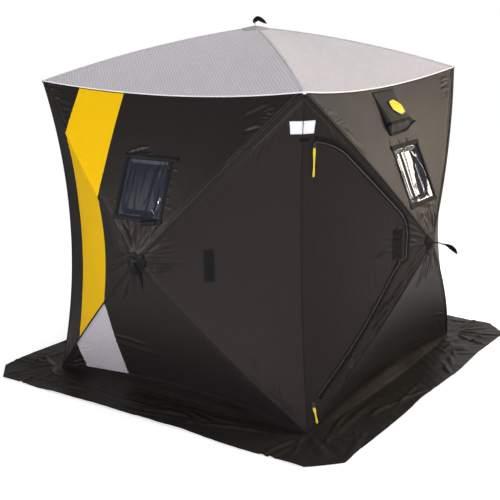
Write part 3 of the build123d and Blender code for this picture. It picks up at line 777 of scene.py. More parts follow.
window_wide, window_tall, window_down = WINDOW
for side in SIDES:
    top, bottom, left, right, roof = (PANEL[kind, side] for kind in PANELS)
    holes = [rectangle(WINDOW_SHIFT.get(side, 0), window_down, window_wide, window_tall)]
    if side in VENTED:
        holes.append(rectangle(0, VENT[2], VENT[0], VENT[1]))
    top_band, bottom_band, left_band = {}, {}, {}
    if side in STRIPED:
        top_band = {"band": (f"{side}_stripe_top_cloth", STRIPE_CLOTH, "side_stripes"),
                    "lines": stripe_lines(top, (0, -0.2), (0, 1.1))}
        bottom_band = {"band": (f"{side}_band_cloth", ROOF, "side_grey_bands"),
                       "lines": stripe_lines(bottom, (-BAND_LEAN - 0.02, -0.1), (-BAND_LEAN, 0), (0, 0.55),
                                             (0, 1.1))}
        left_band = {"band": (f"{side}_stripe_side_cloth", STRIPE_CLOTH, "side_stripes"),
                     "lines": [upright_edge(left, -x) for x in STRIPE], "axis": 0, "beyond": 9}
    lay(top, (f"{side}_top_cloth", WALL, f"{side}_wall_top"), holes, **top_band)
    lay(bottom, (f"{side}_bottom_cloth", WALL, f"{side}_wall_bottom"), **bottom_band)
    if left is not DOOR:
        lay(left, (f"{side}_left_cloth", WALL, f"{side}_wall_left_side"), **left_band)
    lay(right, (f"{side}_right_cloth", WALL, f"{side}_wall_right_side"))
    lay(roof, (f"{side}_roof_cloth", ROOF, f"roof_{side}"))

# the door's panel, cut along the zip and the fold; the gusset is the cloth beside the fold, and rides on no
# body
GUSSET = 0.050
LATCH_TOP = -0.023                 # what isn't door lies above the doorway over this u, and below it under
door_area = np.concatenate([ZIP_LINE, FOLD[:-1]])
flat, faces = cut(DOOR.outline(), [ZIP_LINE, FOLD], creases=DOOR.creases)
up, out = flat[faces].mean(1).T
on_door = inside(flat[faces].mean(1), door_area)
near_fold, over = out < FOLD_LINE + GUSSET, up > LATCH_TOP
for name, body, keep, node in (
        ("door_cloth", "door", on_door & ~near_fold, "door_panel"),
        ("door_fold_cloth", None, on_door & near_fold, "door_panel"),
        ("fold_strip_cloth", "root", ~on_door & (out < FOLD_LINE), "door_fold_strip"),
        ("above_door_cloth", "root", ~on_door & (out >= FOLD_LINE) & over, "front_wall_above_door"),
        ("below_door_cloth", "root", ~on_door & (out >= FOLD_LINE) & ~over, "front_wall_below_door")):
    piece = cloth(name, DOOR, flat, faces, body, WALL, node, keep=keep)
    if body is None:
        edge_points = DOOR.at([(0.0, FOLD_LINE), (0.0, FOLD_LINE + GUSSET)])
        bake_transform(piece)


# ---- seams, piping, borders and tapes ----
def pole_line(panel, end, start=0.0, stop=1.0, steps=90):
    """One pole seam of a panel, in space: its first end is at the corner."""
    return panel.surface(np.full(steps, float(end)), np.linspace(start, stop, steps))


def beside_pole(panel, end, gap, start=0.03, stop=0.97):
    """A flat line on a panel, at a distance from its pole seam."""
    line = panel.flat(pole_line(panel, end, start, stop, 110))
    leftward = -headings(line)[0, 1] * (0.5 - end) > 0
    return beside(line, gap if leftward else -gap)


def stripe_runs(line, side, on_it=False):
    """The runs of a line in space that lie off the yellow stripe of a side wall, or on it."""
    x = turned(line, TO_FRONT[side])[:, 0]
    wanted = ((x < -STRIPE[0]) & (x > -STRIPE[1]) & (side in STRIPED)) == on_it
    cuts = np.flatnonzero(np.diff(wanted.astype(int))) + 1
    runs = zip(np.split(line, cuts), np.split(wanted, cuts))
    return [run for run, keep in runs if keep[0] and len(run) > 2]


SEAM_SINK = 0.0030                 # how deep a welt is sunk in its seam; then the radii of the round trims
WELT, STRIPE_WELT, ROOF_WELT, PIPING, CORNER_ROLL, EAVE_ROLL = 0.0052, 0.0048, 0.0046, 0.0040, 0.0028, 0.0034
welts, bindings, piping, cords, stripe_welts, roof_welts = (Parts() for _ in range(6))
threads = {"root": [], "door": [], "pale": []}      # lines of stitches
# the tab over each top corner: how far up, its half width, how far out
CORNER_TAB = ((0.005, 0.008, 0.003), (0.001, 0.013, 0.005), (-0.006, 0.011, 0.005), (-0.011, 0.004, 0.003))
for side in SIDES:
    top, bottom, left, right, roof = (PANEL[kind, side] for kind in PANELS)
    for panel, end in ((top, 0), (top, 1), (bottom, 0), (bottom, 1)):
        seam = pole_line(panel, end) - panel.out * SEAM_SINK
        for run in stripe_runs(seam, side) if panel is top else [seam]:
            welts.tube(run, WELT, 8)
        for run in stripe_runs(seam, side, True) if panel is top else []:
            stripe_welts.tube(run, STRIPE_WELT, 8)
    roof_welts.tube(pole_line(roof, 0) - roof.out * SEAM_SINK, ROOF_WELT, 8)
    share = np.linspace(0, 1, 120)
    bindings.tube(left.surface(share, np.zeros(120)), CORNER_ROLL)
    eave = roof.surface(share, np.zeros(120)) + (0, 0, -0.001) + top.out * 0.003
    piping.tube(eave, PIPING, 8)
    bindings.tube(eave + (0, 0, -0.0080) - top.out * 0.001, EAVE_ROLL)
    corner, out, across = turned(((-HALF, -HALF, EAVES), (-0.7071, -0.7071, 0), (0.7071, -0.7071, 0)), side)
    piping.loft([[corner + out * (proud + 0.004 * s) + (0, 0, rise) + across * wide * c
                  for c, s in circle(10)] for rise, wide, proud in CORNER_TAB])
    # cords along the sleeves: how far in, from and to which share, how far out, radius
    rows = [(panel, end, 0.024, 0.012, 0.42 if panel is top else 0.30, 0.0012, 0.0017)
            for panel, end in ((top, 0), (top, 1), (left, 1), (right, 1))]
    rows += [(top, end, 0.0075, 0.04, 0.96, 0.0014, 0.0015) for end in (0, 1)]
    for panel, end, gap, start, stop, lift, radius in rows:
        for run in stripe_runs(panel.at(beside_pole(panel, end, gap, start, stop), lift), side):
            cords.tube(run, radius)
    # the hem's tape, and rows of stitches beside the seams
    hem = bottom.flat(bottom.surface(np.linspace(0.01, 0.99, 130), np.zeros(130))) + (0, 0.012)
    bindings.strip(bottom, hem, 0.022, 0.0012)
    rows = [(panel, end, 0.012) for panel in (top, bottom, left, right) for end in (0, 1)]
    rows += [(panel, end, 0.030) for panel in (left, right) for end in (0, 1)]
    for panel, end, gap in rows:
        line = panel.at(beside_pole(panel, end, gap), 0.0006)
        threads["root"] += [line] if panel is bottom else stripe_runs(line, side)
    threads["pale"] += [roof.at(beside_pole(roof, end, 0.011), 0.0006) for end in (0, 1)]
    threads["root"] += [bottom.at(hem + (0, gap - 0.012), 0.0018) for gap in (0.006, 0.019)]
welts.piece("pole_sleeve_welts", "root", WALL)
stripe_welts.piece("stripe_seam_welts", "root", STRIPE_CLOTH)
roof_welts.piece("roof_seam_welts", "root", ROOF)
piping.piece("eave_piping", "root", WHITE_PIPING)
cords.piece("pole_sleeve_edges", "root", SEAM_CORD)

# windows: a creased film behind a bound frame
borders = Parts()
edge_u, edge_v = window_wide / 2 + WINDOW_BORDER / 2, window_tall / 2 + WINDOW_BORDER / 2
long_u = edge_u + WINDOW_BORDER / 2
for side in SIDES:
    top = PANEL["top", side]
    shift = WINDOW_SHIFT.get(side, 0)
    overrun = 0.030 if side == "left" else 0.004        # the left wall's upper binding runs on
    for start, end, wide, thick in (((-long_u, -edge_v), (long_u + overrun, -edge_v), 0.026, 0.0050),
                                    ((-long_u, edge_v), (long_u, edge_v), 0.026, 0.0034),
                                    ((-edge_u, -edge_v), (-edge_u, edge_v), 0.020, 0.0026),
                                    ((edge_u, -edge_v), (edge_u, edge_v), 0.018, 0.0026)):
        line = spaced(np.array((start, end)) + (shift, window_down), 0.010)
        borders.strip(top, line, wide, thick)
        across = np.array((0, wide) if start[1] == end[1] else (wide, 0))
        threads["root"] += [top.at(line[1:-1] + gap * across, 0.0004 + thick * 1.02) for gap in (-0.35, 0.35)]
rolled = spaced([(0.012, 0.730), (0.050, 0.727), (0.116, 0.716)], 0.008)
borders.strip(PANEL["top", "left"], rolled, 0.030, 0.0070, crown=0.8)
borders.piece("window_bindings", "root", BINDING, "window_borders")

FILM_LAP, FILM_SUNK = 0.016, 0.0028       # how far a film runs under its frame, and lies behind the wall
# how steeply each film turns inwards, across its width from -1 to 1: level bands mirror the lamp
FILM_BANDS = {
    "front": ((-1, -0.66, -0.56, -0.42, -0.32, -0.22, -0.12, -0.06,
               0.04, 0.12, 0.32, 0.42, 0.62, 0.72, 0.80, 1),
              (-0.30, -0.32, -0.04, 0.02, 0.34, 0.30, -0.02, -0.30,
               -0.28, 0.04, -0.02, 0.32, 0.36, -0.02, 0.34, 0.36)),
    "left": ((-1, -0.72, -0.55, -0.34, -0.12, 0.10, 0.34, 0.58, 0.80, 1),
             (-0.08, -0.10, 0.10, -0.12, 0.10, -0.11, 0.13, -0.08, 0.14, 0.16)),
}


def film_depth(flat, side, shift):
    """How far inside its frame a film lies."""
    across = (flat[:, 0] - shift) / (window_wide / 2)
    down = (flat[:, 1] - window_down) / (window_tall / 2)
    fine = np.linspace(-1, 1, 401)
    slope = np.interp(fine, *FILM_BANDS["left" if side in STRIPED else "front"])
    depth = np.cumsum(slope) * (fine[1] - fine[0]) * window_wide / 2
    depth -= np.interp(fine, (-1, 1), (depth[0], depth[-1]))
    wander = across * (1 + 0.25 * down) + 0.05 * np.sin(down * 2.3 + 0.6)
    held = np.where(down < 0, 0.45 + 0.55 * smooth(6 + 6 * down), smooth(4 - 4 * down))
    return np.interp(np.clip(wander, -1, 1), fine, depth) * held * smooth(8 - 8 * np.abs(across))


for side in SIDES:
    pane = Panel("top", side)
    shift = WINDOW_SHIFT.get(side, 0)
    rng = np.random.default_rng(40 + SIDES[side])
    for _ in range(5):
        u = shift + (1 if side == "left" else rng.choice((-1, 1))) * rng.uniform(0.085, 0.125)
        v = window_down + rng.uniform(-0.10, 0.12)
        lean, tall = rng.uniform(-0.012, 0.012), rng.uniform(0.002, 0.0035)
        pane.creases.append((u, v - 0.06, u + lean, v + 0.06, 0.009, tall))
    # creases of the film, from the middle of the window
    own = ((108, 440, 112, 650, 14, 11), (84, 650, 100, 676, 6, 6), (26, 640, 34, 590, 5, 4),
           (-100, 688, 60, 684, 9, 2 if side == "front" else 0.7))
    pane.creases += mm((ua + shift * 1000, va, ub + shift * 1000, vb, *size) for ua, va, ub, vb, *size in own)
    pane.creases += mm([(-126, 420, -112, 640, 9, 4)])
    outline = rectangle(shift, window_down, window_wide + FILM_LAP, window_tall + FILM_LAP)
    flat, faces = cut(outline[:-1], step=0.005)
    cloth(f"{side}_window_film", pane, flat, faces, "root", VINYL, "window_panes",
          lift=-FILM_SUNK + np.minimum(film_depth(flat, side, shift), 0.001))


# vent hoods: a bellied flap with soft sides, open at its lower edge, where one corner gapes
HOOD_WIDE, HOOD_TOP, HOOD_LIP, HOOD_END, HOOD_RISE = 0.225, 0.068, 0.250, 0.312, 0.034
BADGE_HALF, BADGE_MIDDLE = (0.069, 0.050), (0.032, 0.170)


def hood_lift(u, v):
    """How far the hood stands off the wall: its hem sags shut at one side and gapes at the other."""
    share = np.clip(u / HOOD_WIDE + 0.5, 0, 1)
    lip, end = 0.031 + 0.014 * share, 0.006 + 0.062 * share**2.2
    rise = np.clip((v - HOOD_TOP) / (HOOD_LIP - HOOD_TOP), 0, 1)
    turn_in = np.clip((v - HOOD_LIP) / (HOOD_END - HOOD_LIP), 0, 1)
    return 0.001 + (lip - 0.001) * rise + (end - lip) * smooth(turn_in)


def hood_grid(panel, v_rows, grow=0.0):
    """Rows of points over the hood: up one side, across its top and down the other side."""
    rows, flats = [], []
    half = HOOD_WIDE / 2 + grow
    for v in v_rows:
        ends = []
        for edge in (-1, 1):
            tall = float(hood_lift(edge * half, v)) + grow
            corner = min(0.010, tall * 0.45)
            ends.append([(edge * (half + 0.003 * math.sin(share * math.pi) * tall / 0.07),
                          (tall - corner) * share) for share in np.linspace(0, 1, 6)[:-1]]
                        + [(edge * (half - corner * (1 - math.cos(a))), tall - corner + corner * math.sin(a))
                           for a in np.radians((0, 22, 45, 68))])
        share = np.linspace(0, 1, 17)
        u = ends[0][-1][0] + 0.004 + (ends[1][-1][0] - ends[0][-1][0] - 0.008) * share
        belly = 0.005 * math.sin(min((v - HOOD_TOP) / 0.2, 1) * 2.4)
        across = np.stack([u, hood_lift(u, v) + grow + belly * np.sin(share * math.pi)], -1)
        u, lift = np.concatenate([ends[0], across, ends[1][::-1]]).T
        turn_in = max(v - HOOD_LIP, 0) / (HOOD_END - HOOD_LIP)
        flat = np.stack([u, v - HOOD_RISE * turn_in * smooth((u / HOOD_WIDE - 0.05) / 0.45)], -1)
        waves = 0.0018 * swell(flat, 0.07, 3) * np.minimum(lift / 0.02, 1)
        rows.append(panel.at(flat, lift + waves + 0.0004))
        flats.append(flat)
    return np.stack(rows), np.stack(flats)


lips, badge_rim, badge_face = Parts(), Parts(), Parts()
for side in VENTED:
    top = PANEL["top", side]
    v_rows = np.concatenate([np.linspace(HOOD_TOP, HOOD_LIP, 22), np.linspace(HOOD_LIP + 0.006, HOOD_END, 6)])
    rows, flats = hood_grid(top, v_rows)
    faces = grid_faces(np.arange(rows[..., 0].size).reshape(rows.shape[:2]))
    hood = mesh_object(f"{side}_vent_hood", rows.reshape(-1, 3), faces, flats.reshape(-1, 2))
    if hood.data.polygons[len(faces) // 2].normal.dot(Vector(top.out)) < 0:
        hood.data.flip_normals()
    dress(hood, "root", HOOD_CLOTH, "vent_hoods")
    thicken(hood, 0.0022)
    for v0, v1 in ((HOOD_LIP - 0.006, HOOD_LIP + 0.010), (HOOD_END - 0.012, HOOD_END + 0.001)):
        outer, inner = (hood_grid(top, np.linspace(v0, v1, 4), grow)[0] for grow in (0.0022, 0.0004))
        lips.loft(np.moveaxis(np.concatenate([outer, inner[::-1]]), 1, 0))
    foot = np.linspace(HOOD_TOP, HOOD_END - 0.01, 30)
    for edge in (-1, 1):
        line = np.stack([np.full(30, edge * (HOOD_WIDE / 2 + 0.006)), foot], -1)
        lips.strip(top, line, 0.014, 0.0010)
        threads["root"].append(top.at(line + (edge * 0.003, 0), 0.0016))
    head = HOOD_WIDE / 2 + 0.012
    line = np.stack([np.linspace(-head, head, 30), np.full(30, HOOD_TOP - 0.004)], -1)
    lips.strip(top, line, 0.016, 0.0012)
    threads["root"].append(top.at(line, 0.0022))

    # the badge on the hood: a moulded rim round a soft six-sided face; rings are (size, rise)
    cosine, sine = circle(48).T
    pull = 1 / np.max([abs(cosine * c + sine * s) for c, s in circle(6)], axis=0)
    reach = 0.7 * pull / 1.08 + 0.3
    for parts, rings in (
            (badge_rim, ((1.0, -0.002), (1.02, 0.0012), (0.99, 0.0030), (0.90, 0.0030), (0.89, 0.0010))),
            (badge_face, ((0.91, 0.0), (0.90, 0.0020), (0.86, 0.0030), (0.78, 0.0030), (0.76, 0.0020),
                          (0.70, 0.0020), (0.68, 0.0030), (0.3, 0.0034), (0.05, 0.0034)))):
        places = []
        for scale, rise in rings:
            x, y = BADGE_HALF[0] * reach * scale * cosine, BADGE_HALF[1] * reach * scale * sine
            flat = BADGE_MIDDLE + np.stack([0.95 * x - 0.12 * y, 0.25 * x + 0.97 * y], -1)
            places.append(top.at(flat, hood_lift(*flat.T) + 0.0065 + rise))
        parts.loft(places)
lips.piece("vent_hood_bindings", "root", (BINDING[0], "wall_fabric"))
badge_rim.piece("vent_badge_rims", "root", (MOULD, "wall_fabric"))
badge_face.piece("vent_badge_faces", "root", BADGE_FACE)

# the door's zip: a coil on its tape, a dark raised strip beside it and two sliders
zip_tape, zip_dark_strip = Parts(), Parts()
inward = 1 if inside(beside(ZIP_LINE, 0.02)[20:21], door_area)[0] else -1
zip_tape.strip(DOOR, beside(ZIP_LINE, 0.008 * inward)[2:-2], 0.014, 0.0014)
zip_tape.piece("zip_tape", "door", ZIP_TAPE, "door_zip")
zip_dark_strip.strip(DOOR, beside(ZIP_LINE, -0.012 * inward)[2:-2], 0.022, 0.0022, crown=0.8)
zip_dark_strip.strip(DOOR, spaced([(0.640, 0.006), (0.640, 0.062)]), 0.014, 0.0024, crown=0.8)
zip_dark_strip.piece("zip_dark_strip", "root", BINDING)
coil_line = DOOR.at(beside(ZIP_LINE, 0.004 * inward)[2:-2], 0.0030)
threads["door"].append(DOOR.at(beside(ZIP_LINE, 0.020 * inward)[4:-4], 0.0008))
threads["root"].append(DOOR.at(beside(ZIP_LINE, -0.019 * inward)[4:-4], 0.0030))

# Each zip pull is a moulded slider with a bridge, and a waisted tab that hangs plumb from it. In mm:
# the slider's (down, half width, height), the bridge's (up, height), the tab's (share of length, half width).
SLIDER = ((-17, 5, 1.5), (-16, 7, 4), (-8, 8, 6), (0, 6.5, 6.5), (8, 8, 6), (16, 7, 4), (17, 5, 1.5))
SLIDER_SECTION = np.array(((-1, 0), (-1, 0.6), (-0.6, 1), (0.6, 1), (1, 0.6), (1, 0)))
BRIDGE = np.array(((10, 6), (4, 10.5), (-6, 10.5), (-14, 6))) / 1000
TAB = ((0, 4.0), (0.03, 6.6), (0.16, 7.4), (0.45, 4.6), (0.62, 4.2), (0.86, 6.0), (0.97, 5.6), (1.0, 3.4))


def door_ring(u, v, section, wide_mm, lifts):
    """A cross-section at a place on the door's panel."""
    return DOOR.at(np.stack([np.full(len(section), u), v + section[:, 0] * wide_mm / 1000], -1), lifts)


for name, up, out, tall, lean, lift, body in (("door_zip_pull", 0.610, 0.086, 0.150, 0.010, 0.0022, "door"),
                                              ("foot_zip_pull", -0.742, 0.052, 0.082, 0.004, 0.0010, "root")):
    slider, tab = Parts(), Parts()
    slider.loft([door_ring(up - down / 1000, out, SLIDER_SECTION, wide,
                           lift + SLIDER_SECTION[:, 1] * high / 1000) for down, wide, high in SLIDER])
    slider.tube(DOOR.at(np.stack([up + BRIDGE[:, 0], np.full(4, out)], -1), lift + BRIDGE[:, 1]), 0.0014)
    slider.piece(name + "_slider", body, (MOULD, "pull_tab"), name)
    tab.loft([door_ring(up - 0.012 - share * tall, out + lean * share, circle(8), wide,
                        lift + 0.006 + 0.004 * math.sin(share * 3) + circle(8)[:, 1] * 0.0016)
              for share, wide in TAB])
    tab.piece(name + "_tab", body, PULL, name)

# sewn patches: a flat piece and one row of stitches; the sizes are the middle's u and v, wide, tall
left_wall = PANEL["right", "left"]
for name, panel, size, body, finish, node in (
        ("wall_patch", left_wall, (-0.018, 0.518, 0.178, 0.060), "root", WEBBING, "left_wall_patch"),
        ("door_tie", DOOR, (0.014, 0.656, 0.168, 0.070), "door", WEBBING, "door_tie_strip"),
        ("door_side_mark", DOOR, (0.702, 0.0415, 0.064, 0.072), "root", TAPE, "reflective_mark"),
        ("wall_side_mark", left_wall, (0.702, 0.0415, 0.064, 0.072), "root", TAPE, "reflective_mark")):
    u, v, wide, tall = size
    cloth(name, panel, *cut(rectangle(*size)[:-1], step=0.009), body, finish, node, lift=0.0010)
    stitches = panel.at(rectangle(u, v, wide - 0.008, tall - 0.008), 0.0014)
    threads["pale" if finish is TAPE else body].append(stitches)


# ---- hubs and pulls ----
def hub_ring(side, radius, lift):
    """A ring round a wall's hub, on its four panels."""
    apex = turned(HUB, side)
    points = []
    for kind, step in (("top", 1), ("right", -1), ("bottom", -1), ("left", 1)):
        panel = PANEL[kind, side]
        share = np.linspace(0, 1, 9)[::step][:-1]
        seam = panel.surface(share, np.zeros(8))
        t = (1 - radius / np.linalg.norm(seam - apex, axis=1)) / (1 - HUB_SHARE)
        points.append(panel.surface(share, t) + panel.out * lift)
    return np.concatenate(points)


def strap(parts, root, ahead, path, widths, twist_deg, twist_over=6):
    """A webbing pull along a path of (run, rise) points, its broad face turned about the path."""
    across = np.cross(ahead, (0, 0, 1.0))
    path = np.array(path, float)
    ways = np.array([path[min(k + 1, len(path) - 1)] - path[max(k - 1, 0)] for k in range(len(path))])
    rings = []
    for k, ((run, rise), way) in enumerate(zip(path, ways / np.hypot(*ways.T)[:, None])):
        over = (0, 0, way[0]) - ahead * way[1]
        angle = math.radians(twist_deg) * min(1, (k + 1) / (twist_over + 1))
        broad = across * math.cos(angle) + over * math.sin(angle)
        thin = over * math.cos(angle) - across * math.sin(angle)
        rings.append([root + ahead * run + (0, 0, rise) + broad * widths[k] * c + thin * 0.0026 * s
                      for c, s in circle(12)])
    parts.loft(rings)


PULL_WAY = {"left": np.array((-0.50, -0.866, 0))}     # this pull has flopped over to one side
TWIST = {"front": -62, "right": 40, "back": -62, "left": -38}
STRAP_BEND = 0.105                 # radius of the arc in which a wall's pull hangs down
CAP_RINGS = ((0.066, -0.001), (0.067, 0.0010), (0.062, 0.0040), (0.050, 0.0030), (0.036, 0.0060))
ROOF_CAP_RINGS = ((0.085, -0.003), (0.086, 0.0008), (0.082, 0.0024), (0.060, 0.0040), (0.036, 0.0060),
                  (0.012, 0.0068))
caps, straps, stem, roof_cap = Parts(), Parts(), Parts(), Parts()
for side in SIDES:
    out = turned((0.0, -1.0, 0.0), side)
    turns = np.arange(32) * 2 * math.pi / 32
    # the patch's edge is uneven: how far each point strays, as a share of the radius
    folded = 0.10 * np.sin(turns * 7 + SIDES[side]) + 0.13 * np.sin(turns * 3 + 2) + 0.10 * np.sin(turns + 4)
    rings = [hub_ring(side, radius, lift) for radius, lift in CAP_RINGS]
    middle = rings[-1].mean(0)
    rings = [middle + (ring - middle) * (1 + folded[:, None]) for ring in rings]
    rings += [middle + (rings[4] - middle) * share + out * 0.010 * (1 - share**2)
              for share in (0.8, 0.6, 0.4, 0.2, 0.03)]
    caps.loft(rings)
    path = [(0, 0), (0.014, 0.001), (0.028, 0.001), (0.040, -0.001), (0.050, -0.003)]
    path += [(0.052 + STRAP_BEND * math.sin(angle), -0.003 - STRAP_BEND * (1 - math.cos(angle)))
             for angle in np.linspace(0.10, 0.98, 12)]
    widths = np.interp(range(len(path)), (0, 4, 6, 10, 13, 15, 16), (4, 3.6, 5.5, 13, 11.5, 7, 2)) / 1000
    if side in PULL_WAY:
        path = [(run, rise * 1.9 - 0.12 * run) for run, rise in path]
    strap(straps, middle + out * 0.009, PULL_WAY.get(side, out), path, widths, TWIST[side])

rings = []
for radius, rise in ROOF_CAP_RINGS:
    ring = []
    for k, (x, y) in enumerate(circle(32)):
        reach = radius * (1 + 0.05 * math.cos(k * math.pi / 4))
        side = ("right", "back", "left", "front")[(k + 4) // 8 % 4]
        panel = PANEL["roof", side]
        flat = panel.flat([(reach * x, reach * y, PEAK_HEIGHT - 0.01)])
        on_roof = panel.surface(*panel.shares(flat))[0]
        ring.append((reach * x, reach * y, on_roof[2] + rise))
    rings.append(ring)
roof_cap.loft(rings)
roof_cap.piece("roof_hub_cap", "root", CAP_CLOTH, "hub_patches")
peak = PANEL["roof", "front"].surface(np.array([0.5]), np.array([1.0]))[0, 2]
roof_top = np.array((0, 0, peak + 0.004))
toward = np.array((math.cos(CREST_TURN), math.sin(CREST_TURN), 0.0))
stem.tube([roof_top + toward * run + (0, 0, rise)
           for run, rise in ((0.001, -0.004), (0.0, 0.008), (-0.001, 0.018), (-0.001, 0.030))], 0.0026, 10)
path = [(-0.006, 0.022), (-0.005, 0.030), (-0.001, 0.038), (0.006, 0.045), (0.014, 0.050), (0.023, 0.048),
        (0.033, 0.043), (0.044, 0.036), (0.054, 0.029), (0.062, 0.023), (0.069, 0.017)]
widths = np.array((7, 11, 13, 14, 14, 14, 13, 11.5, 9, 5, 1.2)) / 1000
strap(straps, roof_top, toward, path, widths, 82, 1)
caps.piece("hub_reinforcements", "root", PATCH_CLOTH, "hub_patches")
straps.piece("hub_pull_straps", "root", WEBBING, "pull_straps")
stem.piece("roof_pull_stem", "root", STEM, "pull_straps")

# ---- snow skirt: one creased flap on each side, lying on the ice ----
rng = np.random.default_rng(77)
SKIRT_FOLDS = []
for sx, sy in ((-1, -1), (1, -1), (1, 1), (-1, 1)):
    corner, out_angle = (sx * (HALF + 0.01), sy * (HALF + 0.01)), math.degrees(math.atan2(sy, sx))
    SKIRT_FOLDS += fan(80 + sx + 3 * sy, corner, out_angle, 70, 9, 0.03, 0.42, 0.020, 0.010)
for k in range(72):
    side = k % 4
    along = rng.uniform(-0.95, 0.95)
    out = rng.uniform(0.98, 1.18)
    x, y = [(along, -out), (out, along), (-along, out), (-out, -along)][side]
    steep = rng.uniform() < 0.3
    angle = side * 90 + rng.normal(0, 11)
    angle = math.radians(angle + (rng.choice((-1, 1)) * rng.uniform(25, 60) if steep else 0))
    long = rng.uniform(0.10, 0.20) if steep else rng.uniform(0.25, 0.70)
    dx, dy = math.cos(angle) * long / 2, math.sin(angle) * long / 2
    SKIRT_FOLDS.append((x - dx, y - dy, x + dx, y + dy, rng.uniform(0.011, 0.022), rng.uniform(0.003, 0.008)))


def skirt_height(place):
    """How far the skirt stands off the ice at points of the ground."""
    waves = 0.0030 * swell(place, 0.30, 5) + 0.0012 * swell(place, 0.07, 6)
    return np.maximum(crease_heights(place, SKIRT_FOLDS) + waves + 0.0025, 0.0) + 0.0022


def hem_curve(x):
    """The wall's hem over a point along the wall: how far out it lies, and how high."""
    share = 1 - (x / HALF) ** 2
    return HALF - BOTTOM_BOW * share, HEM_LIFT + BOTTOM_RISE * share


SKIRT_SAG, SKIRT_RIDGE = 0.011, 0.006      # how it bellies on its slope, and the fold where it meets the ice
tip, edge = SKIRT_REACH - SKIRT_CUT / 2, SKIRT_REACH - SKIRT_CUT
hem_x = np.linspace(-HALF, HALF, 140)
rim = spaced([(HALF, -HALF), (tip, -tip), (edge, -SKIRT_REACH),
              (-edge, -SKIRT_REACH), (-tip, -tip), (-HALF, -HALF)])
skirt_outline = np.concatenate([np.stack([hem_x, -hem_curve(hem_x)[0]], -1), rim[1:-1]])
for side in SIDES:
    flat, faces = cut(skirt_outline, step=0.0095)
    along = np.clip(flat[:, 0], -HALF, HALF)
    hem_out, hem_up = hem_curve(along)
    gap = -flat[:, 1] - hem_out
    bulge = 1 - (along / HALF) ** 2
    slope_wide = 0.020 + (SKIRT_SLOPE + BOTTOM_BOW) * bulge
    share = np.clip(gap / slope_wide, 0, 1)
    world = turned(np.stack([flat[:, 0], flat[:, 1], np.zeros(len(flat))], -1), side)
    lying = skirt_height(world[:, :2])
    sag = SKIRT_SAG * np.sin(share * math.pi) * bulge * (1 + 0.5 * swell(flat, 0.5, 21 + SIDES[side]))
    ridge = SKIRT_RIDGE * np.exp(-(((share - 0.94) / 0.16) ** 2)) * bulge
    fall = hem_up * (1 - share) ** (2.4 if side in STRIPED else 1) + sag + ridge
    world[:, 2] = np.where(share < 1, np.maximum(fall, 0), ridge) + lying * smooth(gap / 0.06) + 0.001
    off_mitre = smooth((1.06 - np.abs(flat[:, 0])) / 0.14)
    edge_wave = smooth((-flat[:, 1] - 1.05) / 0.16) * off_mitre * 0.012 * swell(world[:, :2], 0.5, 11)
    world += turned((0, -1, 0), side) * edge_wave[:, None]
    piece = mesh_object(f"{side}_skirt_cloth", world, faces, flat)
    if piece.data.polygons[len(faces) // 2].normal.z < 0:
        piece.data.flip_normals()
    dress(piece, "root", SKIRT_CLOTH, f"{side}_skirt")

bindings.piece("seam_bindings", "root", BINDING)


# ---- repeated small things: stitches and the zip's teeth ----
def row_tree(name, axis):
    """Instances along every edge chain: stitches lie along it with their X axis, teeth with their Y axis."""
    tree = bpy.data.node_groups.new(name, "GeometryNodeTree")
    for label, kind in (("Lines", "Geometry"), ("Pitch", "Float"), ("Length", "Float"), ("Width", "Float"),
                        ("Finish", "Material"), ("Seed", "Int")):
        tree.interface.new_socket(label, in_out="INPUT", socket_type="NodeSocket" + kind)
    tree.interface.new_socket("Rows", in_out="OUTPUT", socket_type="NodeSocketGeometry")
    given = add(tree, "NodeGroupInput").outputs
    curve = add(tree, "GeometryNodeMeshToCurve", {"Mesh": given["Lines"]})
    points = add(tree, "GeometryNodeResampleCurve", {"Curve": curve, "Length": given["Pitch"]}, mode="LENGTH")
    size = add(tree, "CombineXYZ", {"X": given["Length"], "Y": given["Width"], "Z": given["Width"]})
    shape = add(tree, "GeometryNodeMeshCube", {"Size": size})
    run = add(tree, "GeometryNodeInputTangent")
    out = add(tree, "GeometryNodeInputNamedAttribute", {"Name": "out"}, data_type="FLOAT_VECTOR")
    turn = add(tree, "FunctionNodeAlignRotationToVector", {"Vector": run}, axis=axis)
    level = add(tree, "FunctionNodeAlignRotationToVector", {"Rotation": turn, "Vector": out}, axis="Z",
                pivot_axis=axis)
    odd = add(tree, "FunctionNodeRandomValue", {"Seed": given["Seed"], 2: 0.85, 3: 1.12}, data_type="FLOAT")
    rows = add(tree, "GeometryNodeInstanceOnPoints", {"Points": points, "Instance": shape, "Rotation": level,
                                                      "Scale": odd.outputs[1]})
    real = add(tree, "GeometryNodeRealizeInstances", {"Geometry": rows})
    done = add(tree, "GeometryNodeSetMaterial", {"Geometry": real, "Material": given["Finish"]})
    add(tree, "NodeGroupOutput", {"Rows": done})
    return tree


def row_piece(name, lines, tree, body, slot, **values):
    """Runs a tree over polylines, and keeps the result as a plain mesh."""
    verts, edges, outs = [], [], []
    for line in lines:
        start, middle = len(verts), np.mean(line, axis=0)
        verts += [tuple(p) for p in line]
        edges += [(start + k, start + k + 1) for k in range(len(line) - 1)]
        nearest = min(PANEL.values(), key=lambda panel: np.linalg.norm(panel.heart - middle))
        outs += [tuple(nearest.out)] * len(line)
    carrier = bpy.data.meshes.new(name + "_lines")
    carrier.from_pydata(verts, edges, [])
    carrier.attributes.new("out", "FLOAT_VECTOR", "POINT").data.foreach_set("vector", np.array(outs).ravel())
    piece = placed(name, carrier)
    rows = piece.modifiers.new("rows", "NODES")
    rows.node_group = tree
    for item in tree.interface.items_tree:
        if item.in_out == "INPUT" and item.name in values:
            rows[item.identifier] = values[item.name]
    bpy.context.view_layer.update()
    made = bpy.data.meshes.new_from_object(piece.evaluated_get(bpy.context.evaluated_depsgraph_get()))
    piece.modifiers.clear()
    piece.data = made
    made.name = name
    dress(piece, body, (None, slot))


